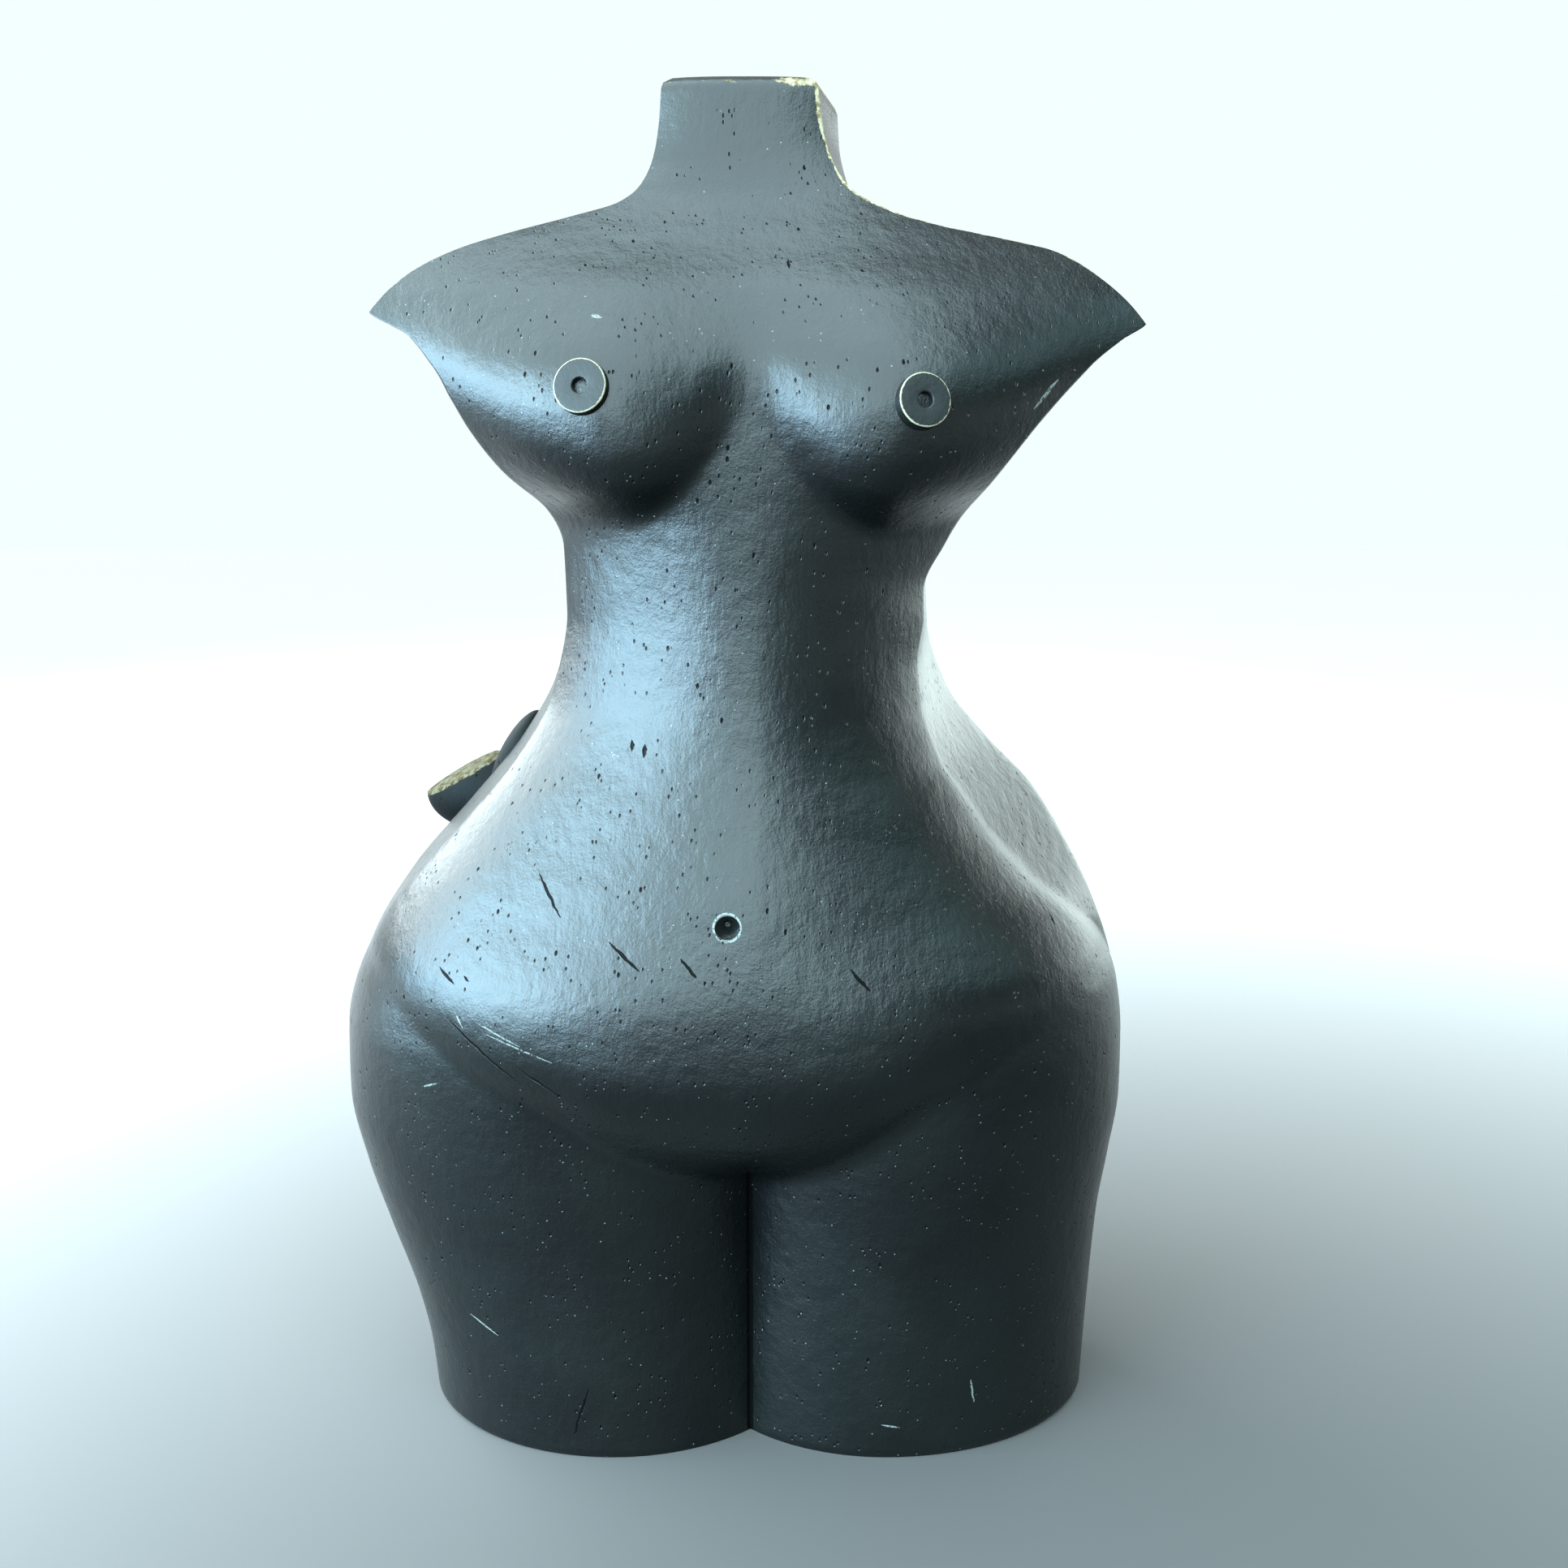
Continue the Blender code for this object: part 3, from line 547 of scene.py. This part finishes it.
def mesh_object(name, points, faces):
    """A smooth object named for its piece, made from points and faces, with its faces pointing out."""
    mesh = bpy.data.meshes.new(name)
    mesh.from_pydata(points.tolist(), [], faces)
    bm = bmesh.new()
    bm.from_mesh(mesh)
    bmesh.ops.remove_doubles(bm, verts=bm.verts, dist=WELD)
    bmesh.ops.recalc_face_normals(bm, faces=bm.faces)
    bm.to_mesh(mesh)
    bm.free()
    mesh.shade_smooth()
    piece = bpy.data.objects.new(name, mesh)
    bpy.context.scene.collection.objects.link(piece)
    return piece


def grid_faces(levels, around):
    """Faces of a grid that closes round on itself, as an array of corners."""
    corner = np.arange(levels * around).reshape(levels, around)
    low, high = corner[:-1], corner[1:]
    return np.stack([low, np.roll(low, -1, 1), np.roll(high, -1, 1), high], -1).reshape(-1, 4)


def end_rings(ring, count):
    """Level rings that shrink evenly from an end section towards its middle."""
    middle = ring.mean(axis=0)
    shares = np.linspace(1.0, 0.0, count + 1)[1:-1]
    rings = middle + shares[:, None, None] * (ring - middle)[None]
    rings[:, :, 2] = ring[0, 2]
    return rings


def carved_skin(name):
    """The whole carved form as one closed surface, with its worn ridges in the attribute 'wear'."""
    points = rimmed(sections())
    wear = ridge_wear(points)
    top = end_rings(points[-1], NECK_RINGS)
    foot = end_rings(points[0], UNDERSIDE_RINGS)
    count = points.shape[1]
    stack = np.concatenate([foot[::-1], points, top])
    worn = np.concatenate([np.zeros((len(foot), count)), wear, np.zeros((len(top), count))]).ravel()
    middles = np.stack([stack[0].mean(axis=0), stack[-1].mean(axis=0)])
    flat = np.concatenate([stack.reshape(-1, 3), middles])
    levels = len(stack)
    faces = grid_faces(levels, count).tolist()
    around = np.arange(count)
    low_middle, high_middle = len(flat) - 2, len(flat) - 1
    faces += np.stack([np.roll(around, -1), around, np.full(count, low_middle)], -1).tolist()
    last = (levels - 1) * count
    faces += np.stack([last + around, last + np.roll(around, -1), np.full(count, high_middle)], -1).tolist()
    mesh = bpy.data.meshes.new(name)
    mesh.from_pydata(flat.tolist(), [], faces)
    mark_points(mesh, "wear", np.append(worn, [0.0, 0.0]))
    mesh.shade_smooth()
    mesh.set_sharp_from_angle(angle=math.radians(SKIN_SHARP))
    skin = bpy.data.objects.new(name, mesh)
    bpy.context.scene.collection.objects.link(skin)
    return skin


def front_point(x, z):
    """The point of the front surface at the shares x and z, in metres."""
    level = np.array([z])
    left = LEFT_BODY, LEFT_SHOULDER, LEFT_TIP, LEFT_INSET
    right = RIGHT_BODY, RIGHT_SHOULDER, RIGHT_TIP, RIGHT_INSET
    body, shoulder, tip, inset = left if x < 0 else right
    edge = half_width(level, body, shoulder, tip) - through(inset, level)
    return Vector((x, -float(front_depth(np.array([x]), level, edge)[0]), z)) * HEIGHT


def seen_at(column, row):
    """The (x, z) in metres of the place on the carved front that the camera sees at a pixel of the frame.

    The ray is followed to an upright plane, which then moves half of the way to the surface there, until it
    stays."""
    across = (column - FRAME_SIDE / 2) / FRAME_SIDE * SENSOR / LENS
    up = (FRAME_SIDE / 2 - row) / FRAME_SIDE * SENSOR / LENS
    forward = math.cos(CAMERA_DOWN) + up * math.sin(CAMERA_DOWN)
    rise = up * math.cos(CAMERA_DOWN) - math.sin(CAMERA_DOWN)
    y = FIRST_PLANE
    for _ in range(RAY_STEPS):
        reach = (y - CAMERA_PLACE[1]) / forward
        x = CAMERA_PLACE[0] + across * reach
        z = CAMERA_PLACE[2] + rise * reach
        share = min(max(z / HEIGHT, RAY_HEIGHTS[0]), RAY_HEIGHTS[1])
        y = (y + front_point(x / HEIGHT, share).y) / 2
    return x, z


def turned(name, profile, where, direction):
    """A round piece: a profile of (radius, height) turned about the direction through the point."""
    profile = np.array(profile)
    angle = np.linspace(0.0, 2 * math.pi, ROUND_STEPS, endpoint=False)
    radius, height = profile[:, :1], profile[:, 1:]
    points = np.stack([radius * np.cos(angle), radius * np.sin(angle), height + 0 * angle], -1).reshape(-1, 3)
    turn = Vector(direction).normalized().to_track_quat("Z", "Y").to_matrix()
    points = points @ np.array(turn).T + np.array(where)
    piece = mesh_object(name, points, grid_faces(len(profile), ROUND_STEPS).tolist())
    piece.data.set_sharp_from_angle(angle=math.radians(DISC_SHARP))
    return piece


def rounded_profile(corners):
    """A profile through (radius, height, rounding) corners.

    Each is rounded by the curve (1 - t) ** 2 * start + 2 * t * (1 - t) * corner + t ** 2 * end, whose ends
    are the rounding away from the corner."""
    corners = np.array(corners, float)
    line = [corners[0, :2]]
    for before, corner, after in zip(corners[:-2], corners[1:-1], corners[2:]):
        back = before[:2] - corner[:2]
        on = after[:2] - corner[:2]
        start = corner[:2] + back / np.linalg.norm(back) * corner[2]
        end = corner[:2] + on / np.linalg.norm(on) * corner[2]
        t = np.linspace(0.0, 1.0, CORNER_STEPS)[:, None]
        line.extend((1 - t) ** 2 * start + 2 * t * (1 - t) * corner[:2] + t ** 2 * end)
    line.append(corners[-1, :2])
    return line


def nipple_disc(name, place, faces):
    """A flat drilled disc with a slightly worn rim."""
    hole_floor = DISC_STAND - DISC_HOLE_DEPTH
    profile = rounded_profile((
        (POLE_RADIUS, -DISC_ROOT, 0),
        (DISC_RADIUS * 1.03, -DISC_ROOT, 0.0003),
        (DISC_RADIUS, DISC_STAND, 0.00045),
        (DISC_HOLE_RADIUS, DISC_STAND, 0.0004),
        (DISC_HOLE_RADIUS * 0.85, hole_floor, 0.0003),
        (POLE_RADIUS, hole_floor - 0.0004, 0),
    ))
    return turned(name, profile, front_point(*place), faces)


def stub(name, where, half_sizes, direction, facet=None):
    """An egg-shaped stub: its long half size along the direction, the others across it.

    A facet presses everything past a plane flat onto it."""
    long, wide, tall = np.array(half_sizes) * HEIGHT
    u = np.linspace(0.0, math.pi, ROUND_STEPS // 2 + 1)[:, None]
    v = np.linspace(0.0, 2 * math.pi, ROUND_STEPS, endpoint=False)
    across, up, along = wide * np.sin(u) * np.cos(v), tall * np.sin(u) * np.sin(v), -long * np.cos(u) + 0 * v
    points = np.stack([across, up, along], -1)
    turn = Vector(direction).normalized().to_track_quat("Z", "Y").to_matrix()
    points = points.reshape(-1, 3) @ np.array(turn).T
    if facet:
        across = np.array(Vector(facet).normalized())
        past = np.maximum(points @ across - STUB_FACET_OFF * HEIGHT, 0.0)
        points = points - past[:, None] * across
    faces = grid_faces(ROUND_STEPS // 2 + 1, ROUND_STEPS).tolist()
    piece = mesh_object(name, points + np.array(where) * HEIGHT, faces)
    piece.data.set_sharp_from_angle(angle=math.radians(STUB_SHARP))
    return piece


def drilled(piece, where, direction, radius, depth):
    """Cuts a cone-shaped drill hole into a piece."""
    slope = radius * (1 - DRILL_TIP) / depth
    turn = Vector(direction).normalized().to_track_quat("Z", "Y").to_matrix().to_4x4()
    bm = bmesh.new()
    bmesh.ops.create_cone(
        bm, cap_ends=True, segments=DRILL_STEPS,
        radius1=radius * DRILL_TIP, radius2=radius + DRILL_OUT * slope, depth=depth + DRILL_OUT,
        matrix=Matrix.Translation(where) @ turn @ Matrix.Translation((0, 0, (DRILL_OUT - depth) / 2)),
    )
    mesh = bpy.data.meshes.new("drill")
    bm.to_mesh(mesh)
    bm.free()
    drill = bpy.data.objects.new("drill", mesh)
    bpy.context.scene.collection.objects.link(drill)
    cut = piece.modifiers.new("drill", "BOOLEAN")
    cut.operation = "DIFFERENCE"
    cut.solver = "EXACT"
    cut.object = drill
    result = bpy.data.meshes.new_from_object(piece.evaluated_get(bpy.context.evaluated_depsgraph_get()))
    piece.modifiers.clear()
    piece.data = result
    bpy.data.objects.remove(drill)


def disc_wear(disc, place, faces):
    """Marks a disc's rim and its hole's edge as rubbed: exp(-(distance / spread) ** 2) from each."""
    off = point_places(disc.data) - np.array(front_point(*place))
    axis = np.array(Vector(faces).normalized())
    up = off @ axis
    out = np.linalg.norm(off - up[:, None] * axis, axis=1)
    above = up - DISC_STAND
    rim = np.exp(-(((out - DISC_RADIUS) / DISC_RIM_SPREAD) ** 2) - (above / DISC_RIM_SPREAD) ** 2)
    hole = np.exp(-(((out - DISC_HOLE_RADIUS) / DISC_HOLE_SPREAD) ** 2) - (above / DISC_HOLE_SPREAD) ** 2)
    mark_points(disc.data, "rim", np.maximum(rim, DISC_HOLE_WEAR * hole))


def facet_wear(piece):
    """Marks the facet of the larger stub as rubbed, fading towards its edge."""
    across = np.array(Vector(STUB_FACET).normalized())
    height = (point_places(piece.data) - np.array(STUB) * HEIGHT) @ across / (STUB_FACET_OFF * HEIGHT)
    mark_points(piece.data, "wear", FACET_WEAR * np.clip((height - FACET_FROM) / FACET_FADE, 0.0, 1.0))


# Colours of the finishes, and heights and depths of the paint's relief in metres.
PAINT_DEEP = (0.0007, 0.0010, 0.0011, 1.0)
PAINT_LIGHTER = (0.0016, 0.0022, 0.0021, 1.0)
# Painted shade: the matt near-black that the pits, cracks and the cleft between the thighs turn to.
RECESS_SHADE_COLOUR = (0.0015, 0.0015, 0.0015, 1.0)
SPECK_COLOUR = (0.16, 0.18, 0.18, 1.0)
SCRATCH_COLOUR = (0.13, 0.14, 0.13, 1.0)
DARK_WOOD = (0.075, 0.050, 0.016)
PALE_WOOD = (0.19, 0.16, 0.10)
DISC_PAINT = (0.0016, 0.0022, 0.0022, 1.0)
DISC_WOOD = (0.17, 0.15, 0.10, 1.0)
# The floor's painted shadow colour before the figure, and its plain pale colour further off.
FLOOR_SHADOW_COLOUR = (0.034, 0.031, 0.030, 1.0)
FLOOR_FAR = (0.235, 0.205, 0.197, 1.0)
ROOM_COLOUR = (0.90, 1.0, 1.0, 1.0)
SWELL_HEIGHT = 0.00024
LEATHER_HEIGHT = 0.00010
GRAIN_HEIGHT = 0.00010
PIT_DEPTH = 0.00030
CRACK_DEPTH = 0.0005
CLEFT_DEPTH = 0.0006
BARE_DEPTH = 0.00008
DISC_GRAIN_HEIGHT = 0.00008
NAVEL_RIM_WIDTH = 0.0005
CLEFT_TOP = (0.080, 0.086)
# The floor carries a painted shadow: it is darker round a point before the figure, and pale again past a
# distance, in metres.
FLOOR_SHADOW_MIDDLE = (0.10, -0.24)
FLOOR_SHADOW_FADE = (0.12, 1.00)
FLOOR_HALF = 4.0
# The room's strength from the front to the back: where it starts and stops rising, and the strength at each.
ROOM_RISE = (-0.30, 0.45, 0.06, 1.0)
SKY_SPREAD = math.radians(100.0)


class Value:
    """One number on a material's sheet; arithmetic on it adds the Math nodes."""

    def __init__(self, sheet, socket):
        self.sheet = sheet
        self.socket = socket

    def _math(self, operation, first, second=0.0):
        node = self.sheet.add("ShaderNodeMath", {"operation": operation}, {0: first, 1: second})
        return Value(self.sheet, node.outputs[0])

    def __add__(self, other):
        return self._math("ADD", self, other)

    __radd__ = __add__

    def __sub__(self, other):
        return self._math("SUBTRACT", self, other)

    def __rsub__(self, other):
        return self._math("SUBTRACT", other, self)

    def __mul__(self, other):
        return self._math("MULTIPLY", self, other)

    __rmul__ = __mul__

    def __truediv__(self, other):
        return self._math("DIVIDE", self, other)

    def __pow__(self, other):
        return self._math("POWER", self, other)

    def __abs__(self):
        return self._math("ABSOLUTE", self)

    def root(self):
        return self._math("SQRT", self)

    def least(self, other):
        return self._math("MINIMUM", self, other)

    def most(self, other):
        return self._math("MAXIMUM", self, other)

    def ramp(self, low, high, bottom=0.0, top=1.0):
        """Bottom below low, top above high, eased between them."""
        node = self.sheet.add(
            "ShaderNodeMapRange", {"interpolation_type": "SMOOTHSTEP"},
            {"Value": self, "From Min": low, "From Max": high, "To Min": bottom, "To Max": top},
        )
        return Value(self.sheet, node.outputs[0])


class Sheet:
    """A material and the ways nodes are added to it."""

    def __init__(self, name):
        self.material = bpy.data.materials.new(name)
        self.material.use_nodes = True
        self.nodes = self.material.node_tree.nodes
        self.links = self.material.node_tree.links
        self.surface = self.nodes["Principled BSDF"]
        self.place = self.add("ShaderNodeTexCoord", {}, {}).outputs["Object"]

    def add(self, kind, settings, inputs):
        """A node of a kind: its settings first, then a value or a link for each named socket."""
        node = self.nodes.new(kind)
        for key, value in settings.items():
            setattr(node, key, value)
        self.feed(node, inputs)
        return node

    def feed(self, node, inputs):
        """Sets or links a node's sockets."""
        for key, value in inputs.items():
            if isinstance(value, Value):
                self.links.new(value.socket, node.inputs[key])
            elif isinstance(value, bpy.types.NodeSocket):
                self.links.new(value, node.inputs[key])
            else:
                node.inputs[key].default_value = value

    def axes(self):
        """The place on the piece as three numbers."""
        node = self.add("ShaderNodeSeparateXYZ", {}, {0: self.place})
        return [Value(self, out) for out in node.outputs]

    def mapped(self, scale, turn=(0.0, 0.0, 0.0)):
        """The place stretched along each axis, for patterns that run one way."""
        inputs = {"Vector": self.place, "Scale": scale, "Rotation": turn}
        return self.add("ShaderNodeMapping", {}, inputs).outputs[0]

    def marked(self, name):
        """The number stored under a name for each point of the piece."""
        return Value(self, self.add("ShaderNodeAttribute", {"attribute_name": name}, {}).outputs["Fac"])

    def noise(self, scale, detail=2.0, roughness=0.5, place=None):
        """A cloudy number between 0 and 1."""
        node = self.add(
            "ShaderNodeTexNoise", {},
            {"Vector": place or self.place, "Scale": scale, "Detail": detail, "Roughness": roughness},
        )
        return Value(self, node.outputs["Fac"])

    def cells(self, scale, place=None):
        """The distance from the nearest of many scattered points."""
        node = self.add("ShaderNodeTexVoronoi", {}, {"Vector": place or self.place, "Scale": scale})
        return Value(self, node.outputs["Distance"])

    def blend(self, mask, first, second):
        """One colour turning into another by a mask."""
        node = self.add("ShaderNodeMix", {"data_type": "RGBA"}, {0: mask, 6: first, 7: second})
        return node.outputs[2]

    def bump(self, height):
        """The surface's normal, raised by a height in metres."""
        return self.add("ShaderNodeBump", {}, {"Height": height, "Distance": 1.0, "Strength": 1.0}).outputs[0]

    def mute(self, mask, colour):
        """Turns the surface by a mask to a matt colour that nothing shines on: painted shade."""
        matt = self.add("ShaderNodeBsdfDiffuse", {}, {"Color": colour})
        mixed = self.add("ShaderNodeMixShader", {}, {0: mask, 1: self.surface.outputs[0], 2: matt.outputs[0]})
        self.links.new(mixed.outputs[0], self.nodes["Material Output"].inputs["Surface"])


def stroke(x, z, start, end, width):
    """1 on a straight mark from start to end across the front, seen from in front, 0 past half its width."""
    along = (end[0] - start[0], end[1] - start[1])
    length = along[0] ** 2 + along[1] ** 2
    share = (((x - start[0]) * along[0] + (z - start[1]) * along[1]) / length).most(0.0).least(1.0)
    off_x = x - start[0] - share * along[0]
    off_z = z - start[1] - share * along[1]
    taper = 1.0 - abs(share * 2.0 - 1.0) ** 2.0 * 0.7
    return 1.0 - ((off_x * off_x + off_z * off_z).root() / taper).ramp(width * 0.25, width * 0.75)


def marks(x, z, table):
    """The strokes of a table together, as one mask."""
    mask = None
    for start, end, width in table:
        mark = stroke(x, z, seen_at(*start), seen_at(*end), width)
        mask = mark if mask is None else mask.most(mark)
    return mask


def ring(x, z, middle, radius, width):
    """1 on a circle round the middle, seen from in front, 0 past half its width."""
    off_x, off_z = x - middle[0], z - middle[1]
    return 1.0 - abs((off_x * off_x + off_z * off_z).root() - radius).ramp(width * 0.25, width * 0.75)


def worn_black_paint(name, sheen, dullness, wood=1.0):
    """Black satin paint over carved wood: leathery grain, pits, cracks, and bare wood on the rubbed ridges,
    with painted shade in the pits, cracks and the cleft between the thighs.

    The number for the wood is how bright it shows where it is bare."""
    sheet = Sheet(name)
    x, y, z = sheet.axes()
    wobble = (sheet.noise(420.0, 3.0) - 0.5) * 0.0014
    front = 1.0 - y.ramp(-0.012, -0.004)

    swell = sheet.noise(210.0, 2.0, 0.5)
    leather = sheet.noise(1500.0, 3.0, 0.7)
    grain = sheet.noise(620.0, 2.0, 0.6, sheet.mapped((1.0, 1.0, 0.30)))
    pit_place = sheet.mapped((1.0, 1.0, 0.55), (0.12, 0.0, 0.0))
    large_pits = 1.0 - sheet.cells(270.0, pit_place).ramp(0.05, 0.13)
    large_pits = large_pits * sheet.noise(80.0, 1.0).ramp(0.54, 0.60)
    small_pits = 1.0 - sheet.cells(560.0, pit_place).ramp(0.08, 0.20)
    small_pits = small_pits * sheet.noise(120.0, 1.0).ramp(0.50, 0.58)
    pits = large_pits.most(small_pits * 0.8)

    cracks = marks(x + wobble, z, CRACKS) * front
    scratches = marks(x + wobble * 0.6, z, SCRATCHES) * front
    navel_middle = NAVEL[0] * HEIGHT, NAVEL[1] * HEIGHT
    navel_rim = ring(x + wobble * 0.2, z, navel_middle, NAVEL_RADIUS * 1.05, NAVEL_RIM_WIDTH)
    scratches = scratches.most(navel_rim * front) * sheet.noise(1500.0, 2.0, 0.7).ramp(0.38, 0.50)
    cleft = (1.0 - abs(x + wobble * 0.2).ramp(0.0002, 0.0009)) * (1.0 - z.ramp(*CLEFT_TOP))

    wear = sheet.marked("wear")
    ragged = sheet.noise(900.0, 3.0, 0.7) * 0.6 + sheet.noise(210.0, 2.0, 0.5) * 0.8
    bare = (wear + ragged * 0.75 - 0.95).ramp(0.0, 0.12)
    specks = sheet.cells(480.0).ramp(0.12, 0.06, 0.0, 1.0) * sheet.noise(150.0, 1.0, 0.5).ramp(0.56, 0.62)

    tone = sheet.noise(22.0, 2.0, 0.5)
    colour = sheet.blend(tone.ramp(0.35, 0.65), PAINT_DEEP, PAINT_LIGHTER)
    colour = sheet.blend(specks * 0.4, colour, SPECK_COLOUR)
    colour = sheet.blend(scratches * 0.7, colour, SCRATCH_COLOUR)
    dark_wood = [channel * wood for channel in DARK_WOOD] + [1.0]
    pale_wood = [channel * wood for channel in PALE_WOOD] + [1.0]
    gold = sheet.blend(sheet.noise(500.0, 2.0, 0.6).ramp(0.4, 0.6), dark_wood, pale_wood)
    colour = sheet.blend(bare, colour, gold)

    height = swell * SWELL_HEIGHT + leather * LEATHER_HEIGHT + grain * GRAIN_HEIGHT
    height = height - pits * PIT_DEPTH - cracks * CRACK_DEPTH - cleft * CLEFT_DEPTH - bare * BARE_DEPTH
    rough = dullness + (sheet.noise(60.0, 3.0, 0.6) - 0.5) * 0.12 + bare * 0.25
    sheet.feed(sheet.surface, {
        "Base Color": colour,
        "Roughness": rough,
        "Specular IOR Level": sheen,
        "Normal": sheet.bump(height),
    })
    # Painted shade: the pits, cracks and the cleft between the thighs turn matt near-black, with no shine in
    # them.
    sheet.mute(pits.most(cracks).most(cleft) * 0.9, RECESS_SHADE_COLOUR)
    return sheet.material


def disc_paint():
    """The same paint on the small discs, rubbed through along their rims."""
    sheet = Sheet("disc_paint")
    edge = sheet.marked("rim")
    ragged = sheet.noise(1100.0, 3.0, 0.7)
    bare = (edge + ragged * 0.9 - 1.05).ramp(0.0, 0.15)
    sheet.feed(sheet.surface, {
        "Base Color": sheet.blend(bare, DISC_PAINT, DISC_WOOD),
        "Roughness": 0.42 + bare * 0.2,
        "Specular IOR Level": 0.25,
        "Normal": sheet.bump(sheet.noise(700.0, 2.0, 0.6) * DISC_GRAIN_HEIGHT),
    })
    return sheet.material


def shadowed_floor_finish():
    """A pale matt floor with a painted shadow before the figure, so that the paint's undersides, which
    reflect it, stay dark.
    """
    sheet = Sheet("pale_floor_painted_shadow")
    x, y, _ = sheet.axes()
    off_x, off_y = x - FLOOR_SHADOW_MIDDLE[0], y - FLOOR_SHADOW_MIDDLE[1]
    far = (off_x * off_x + off_y * off_y).root().ramp(*FLOOR_SHADOW_FADE)
    sheet.feed(sheet.surface, {
        "Base Color": sheet.blend(far, FLOOR_SHADOW_COLOUR, FLOOR_FAR),
        "Roughness": 0.8,
    })
    return sheet.material


def soft_light(name, place, aim, size, power, colour):
    """A soft rectangular light; with no size it is a wide overhead glow from the same direction instead."""
    light = bpy.data.lights.new(name, "AREA" if size else "SUN")
    if size:
        light.shape = "RECTANGLE"
        light.size, light.size_y = size
    else:
        light.angle = SKY_SPREAD
    light.energy = power
    light.color = colour
    lamp = bpy.data.objects.new(name, light)
    lamp.location = place
    lamp.visible_camera = False
    lamp.rotation_euler = (Vector(aim) - Vector(place)).to_track_quat("-Z", "Y").to_euler()
    bpy.context.scene.collection.objects.link(lamp)


def white_room():
    """A pale room that is brighter behind the figure than in front of it."""
    world = bpy.data.worlds.new("white_room")
    bpy.context.scene.world = world
    world.use_nodes = True
    nodes, links = world.node_tree.nodes, world.node_tree.links
    background = nodes["Background"]
    place = nodes.new("ShaderNodeTexCoord")
    axes = nodes.new("ShaderNodeSeparateXYZ")
    ramp = nodes.new("ShaderNodeMapRange")
    ramp.interpolation_type = "SMOOTHSTEP"
    links.new(place.outputs["Generated"], axes.inputs[0])
    links.new(axes.outputs[1], ramp.inputs[0])
    for socket, value in zip(ramp.inputs[1:5], ROOM_RISE):
        socket.default_value = value
    background.inputs[0].default_value = ROOM_COLOUR
    links.new(ramp.outputs[0], background.inputs[1])


# The finished pieces
skin = carved_skin("torso_skin")
drilled(skin, front_point(*NAVEL), NAVEL_FACES, NAVEL_RADIUS, NAVEL_DEPTH)
skin.data.materials.clear()
skin.data.materials.append(worn_black_paint("worn_black_paint", 0.30, 0.29))

discs = [
    nipple_disc("left_nipple_disc", LEFT_DISC, LEFT_DISC_FACES),
    nipple_disc("right_nipple_disc", RIGHT_DISC, RIGHT_DISC_FACES),
]
rim_finish = disc_paint()
disc_wear(discs[0], LEFT_DISC, LEFT_DISC_FACES)
disc_wear(discs[1], RIGHT_DISC, RIGHT_DISC_FACES)
for disc in discs:
    disc.data.materials.append(rim_finish)

stubs = [
    stub("waist_stub", STUB, STUB_HALF_SIZES, STUB_POINTS, STUB_FACET),
    stub("small_waist_stub", SMALL_STUB, SMALL_STUB_HALF_SIZES, SMALL_STUB_POINTS),
]
# The stub's paint: the body's paint with less shine and darker bare wood, partly a rougher surface and partly
# painted shade on the stub behind the waist.
shaded_stub_finish = worn_black_paint("dull_shaded_black_paint", 0.06, 0.62, 0.35)
facet_wear(stubs[0])
mark_points(stubs[1].data, "wear", np.zeros(len(stubs[1].data.vertices)))
for piece in stubs:
    piece.data.materials.append(shaded_stub_finish)

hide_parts("torso")
for piece in [skin] + discs + stubs:
    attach(piece, "root")

# The floor, the lights and the camera
floor_mesh = bpy.data.meshes.new("floor")
corners = [(FLOOR_HALF * x, FLOOR_HALF * y, 0.0) for x, y in ((-1, -1), (1, -1), (1, 1), (-1, 1))]
floor_mesh.from_pydata(corners, [], [(0, 1, 2, 3)])
floor = bpy.data.objects.new("floor", floor_mesh)
bpy.context.scene.collection.objects.link(floor)
floor.data.materials.append(shadowed_floor_finish())

bpy.context.scene.view_settings.view_transform = "Standard"
white_room()
soft_light("window", (-1.10, -0.62, 0.33), (0.0, 0.0, 0.20), (1.30, 0.70), 100.0, (0.46, 0.78, 1.0))
soft_light("low_window", (-0.55, -0.85, 0.06), (0.0, 0.0, 0.08), (0.30, 0.12), 0.9, (0.45, 0.70, 1.0))
soft_light("left_glow", (-1.02, 0.48, 0.75), (0.0, 0.0, 0.15), (1.30, 0.90), 58.0, (0.80, 0.95, 1.0))
soft_light("right_glow", (1.10, 0.80, 0.34), (0.0, 0.0, 0.16), (1.70, 0.62), 13.0, (0.82, 1.0, 0.97))
soft_light("right_fill", (1.00, -0.75, 0.95), (0.0, 0.0, 0.25), (1.0, 0.70), 6.5, (0.55, 0.95, 1.0))
soft_light("front_fill", (0.08, -1.15, 0.30), (0.0, 0.0, 0.24), (0.50, 0.34), 4.6, (0.60, 0.92, 1.0))
soft_light("skylight", (-0.42, -0.72, 0.85), (0.0, 0.0, 0.0), None, 21.0, (0.66, 0.92, 1.0))

lens = bpy.data.cameras.new("camera")
lens.lens = LENS
lens.sensor_width = SENSOR
camera = bpy.data.objects.new("camera", lens)
camera.location = CAMERA_PLACE
camera.rotation_euler = (math.radians(90) - CAMERA_DOWN, 0.0, 0.0)
bpy.context.scene.collection.objects.link(camera)
bpy.context.scene.camera = camera
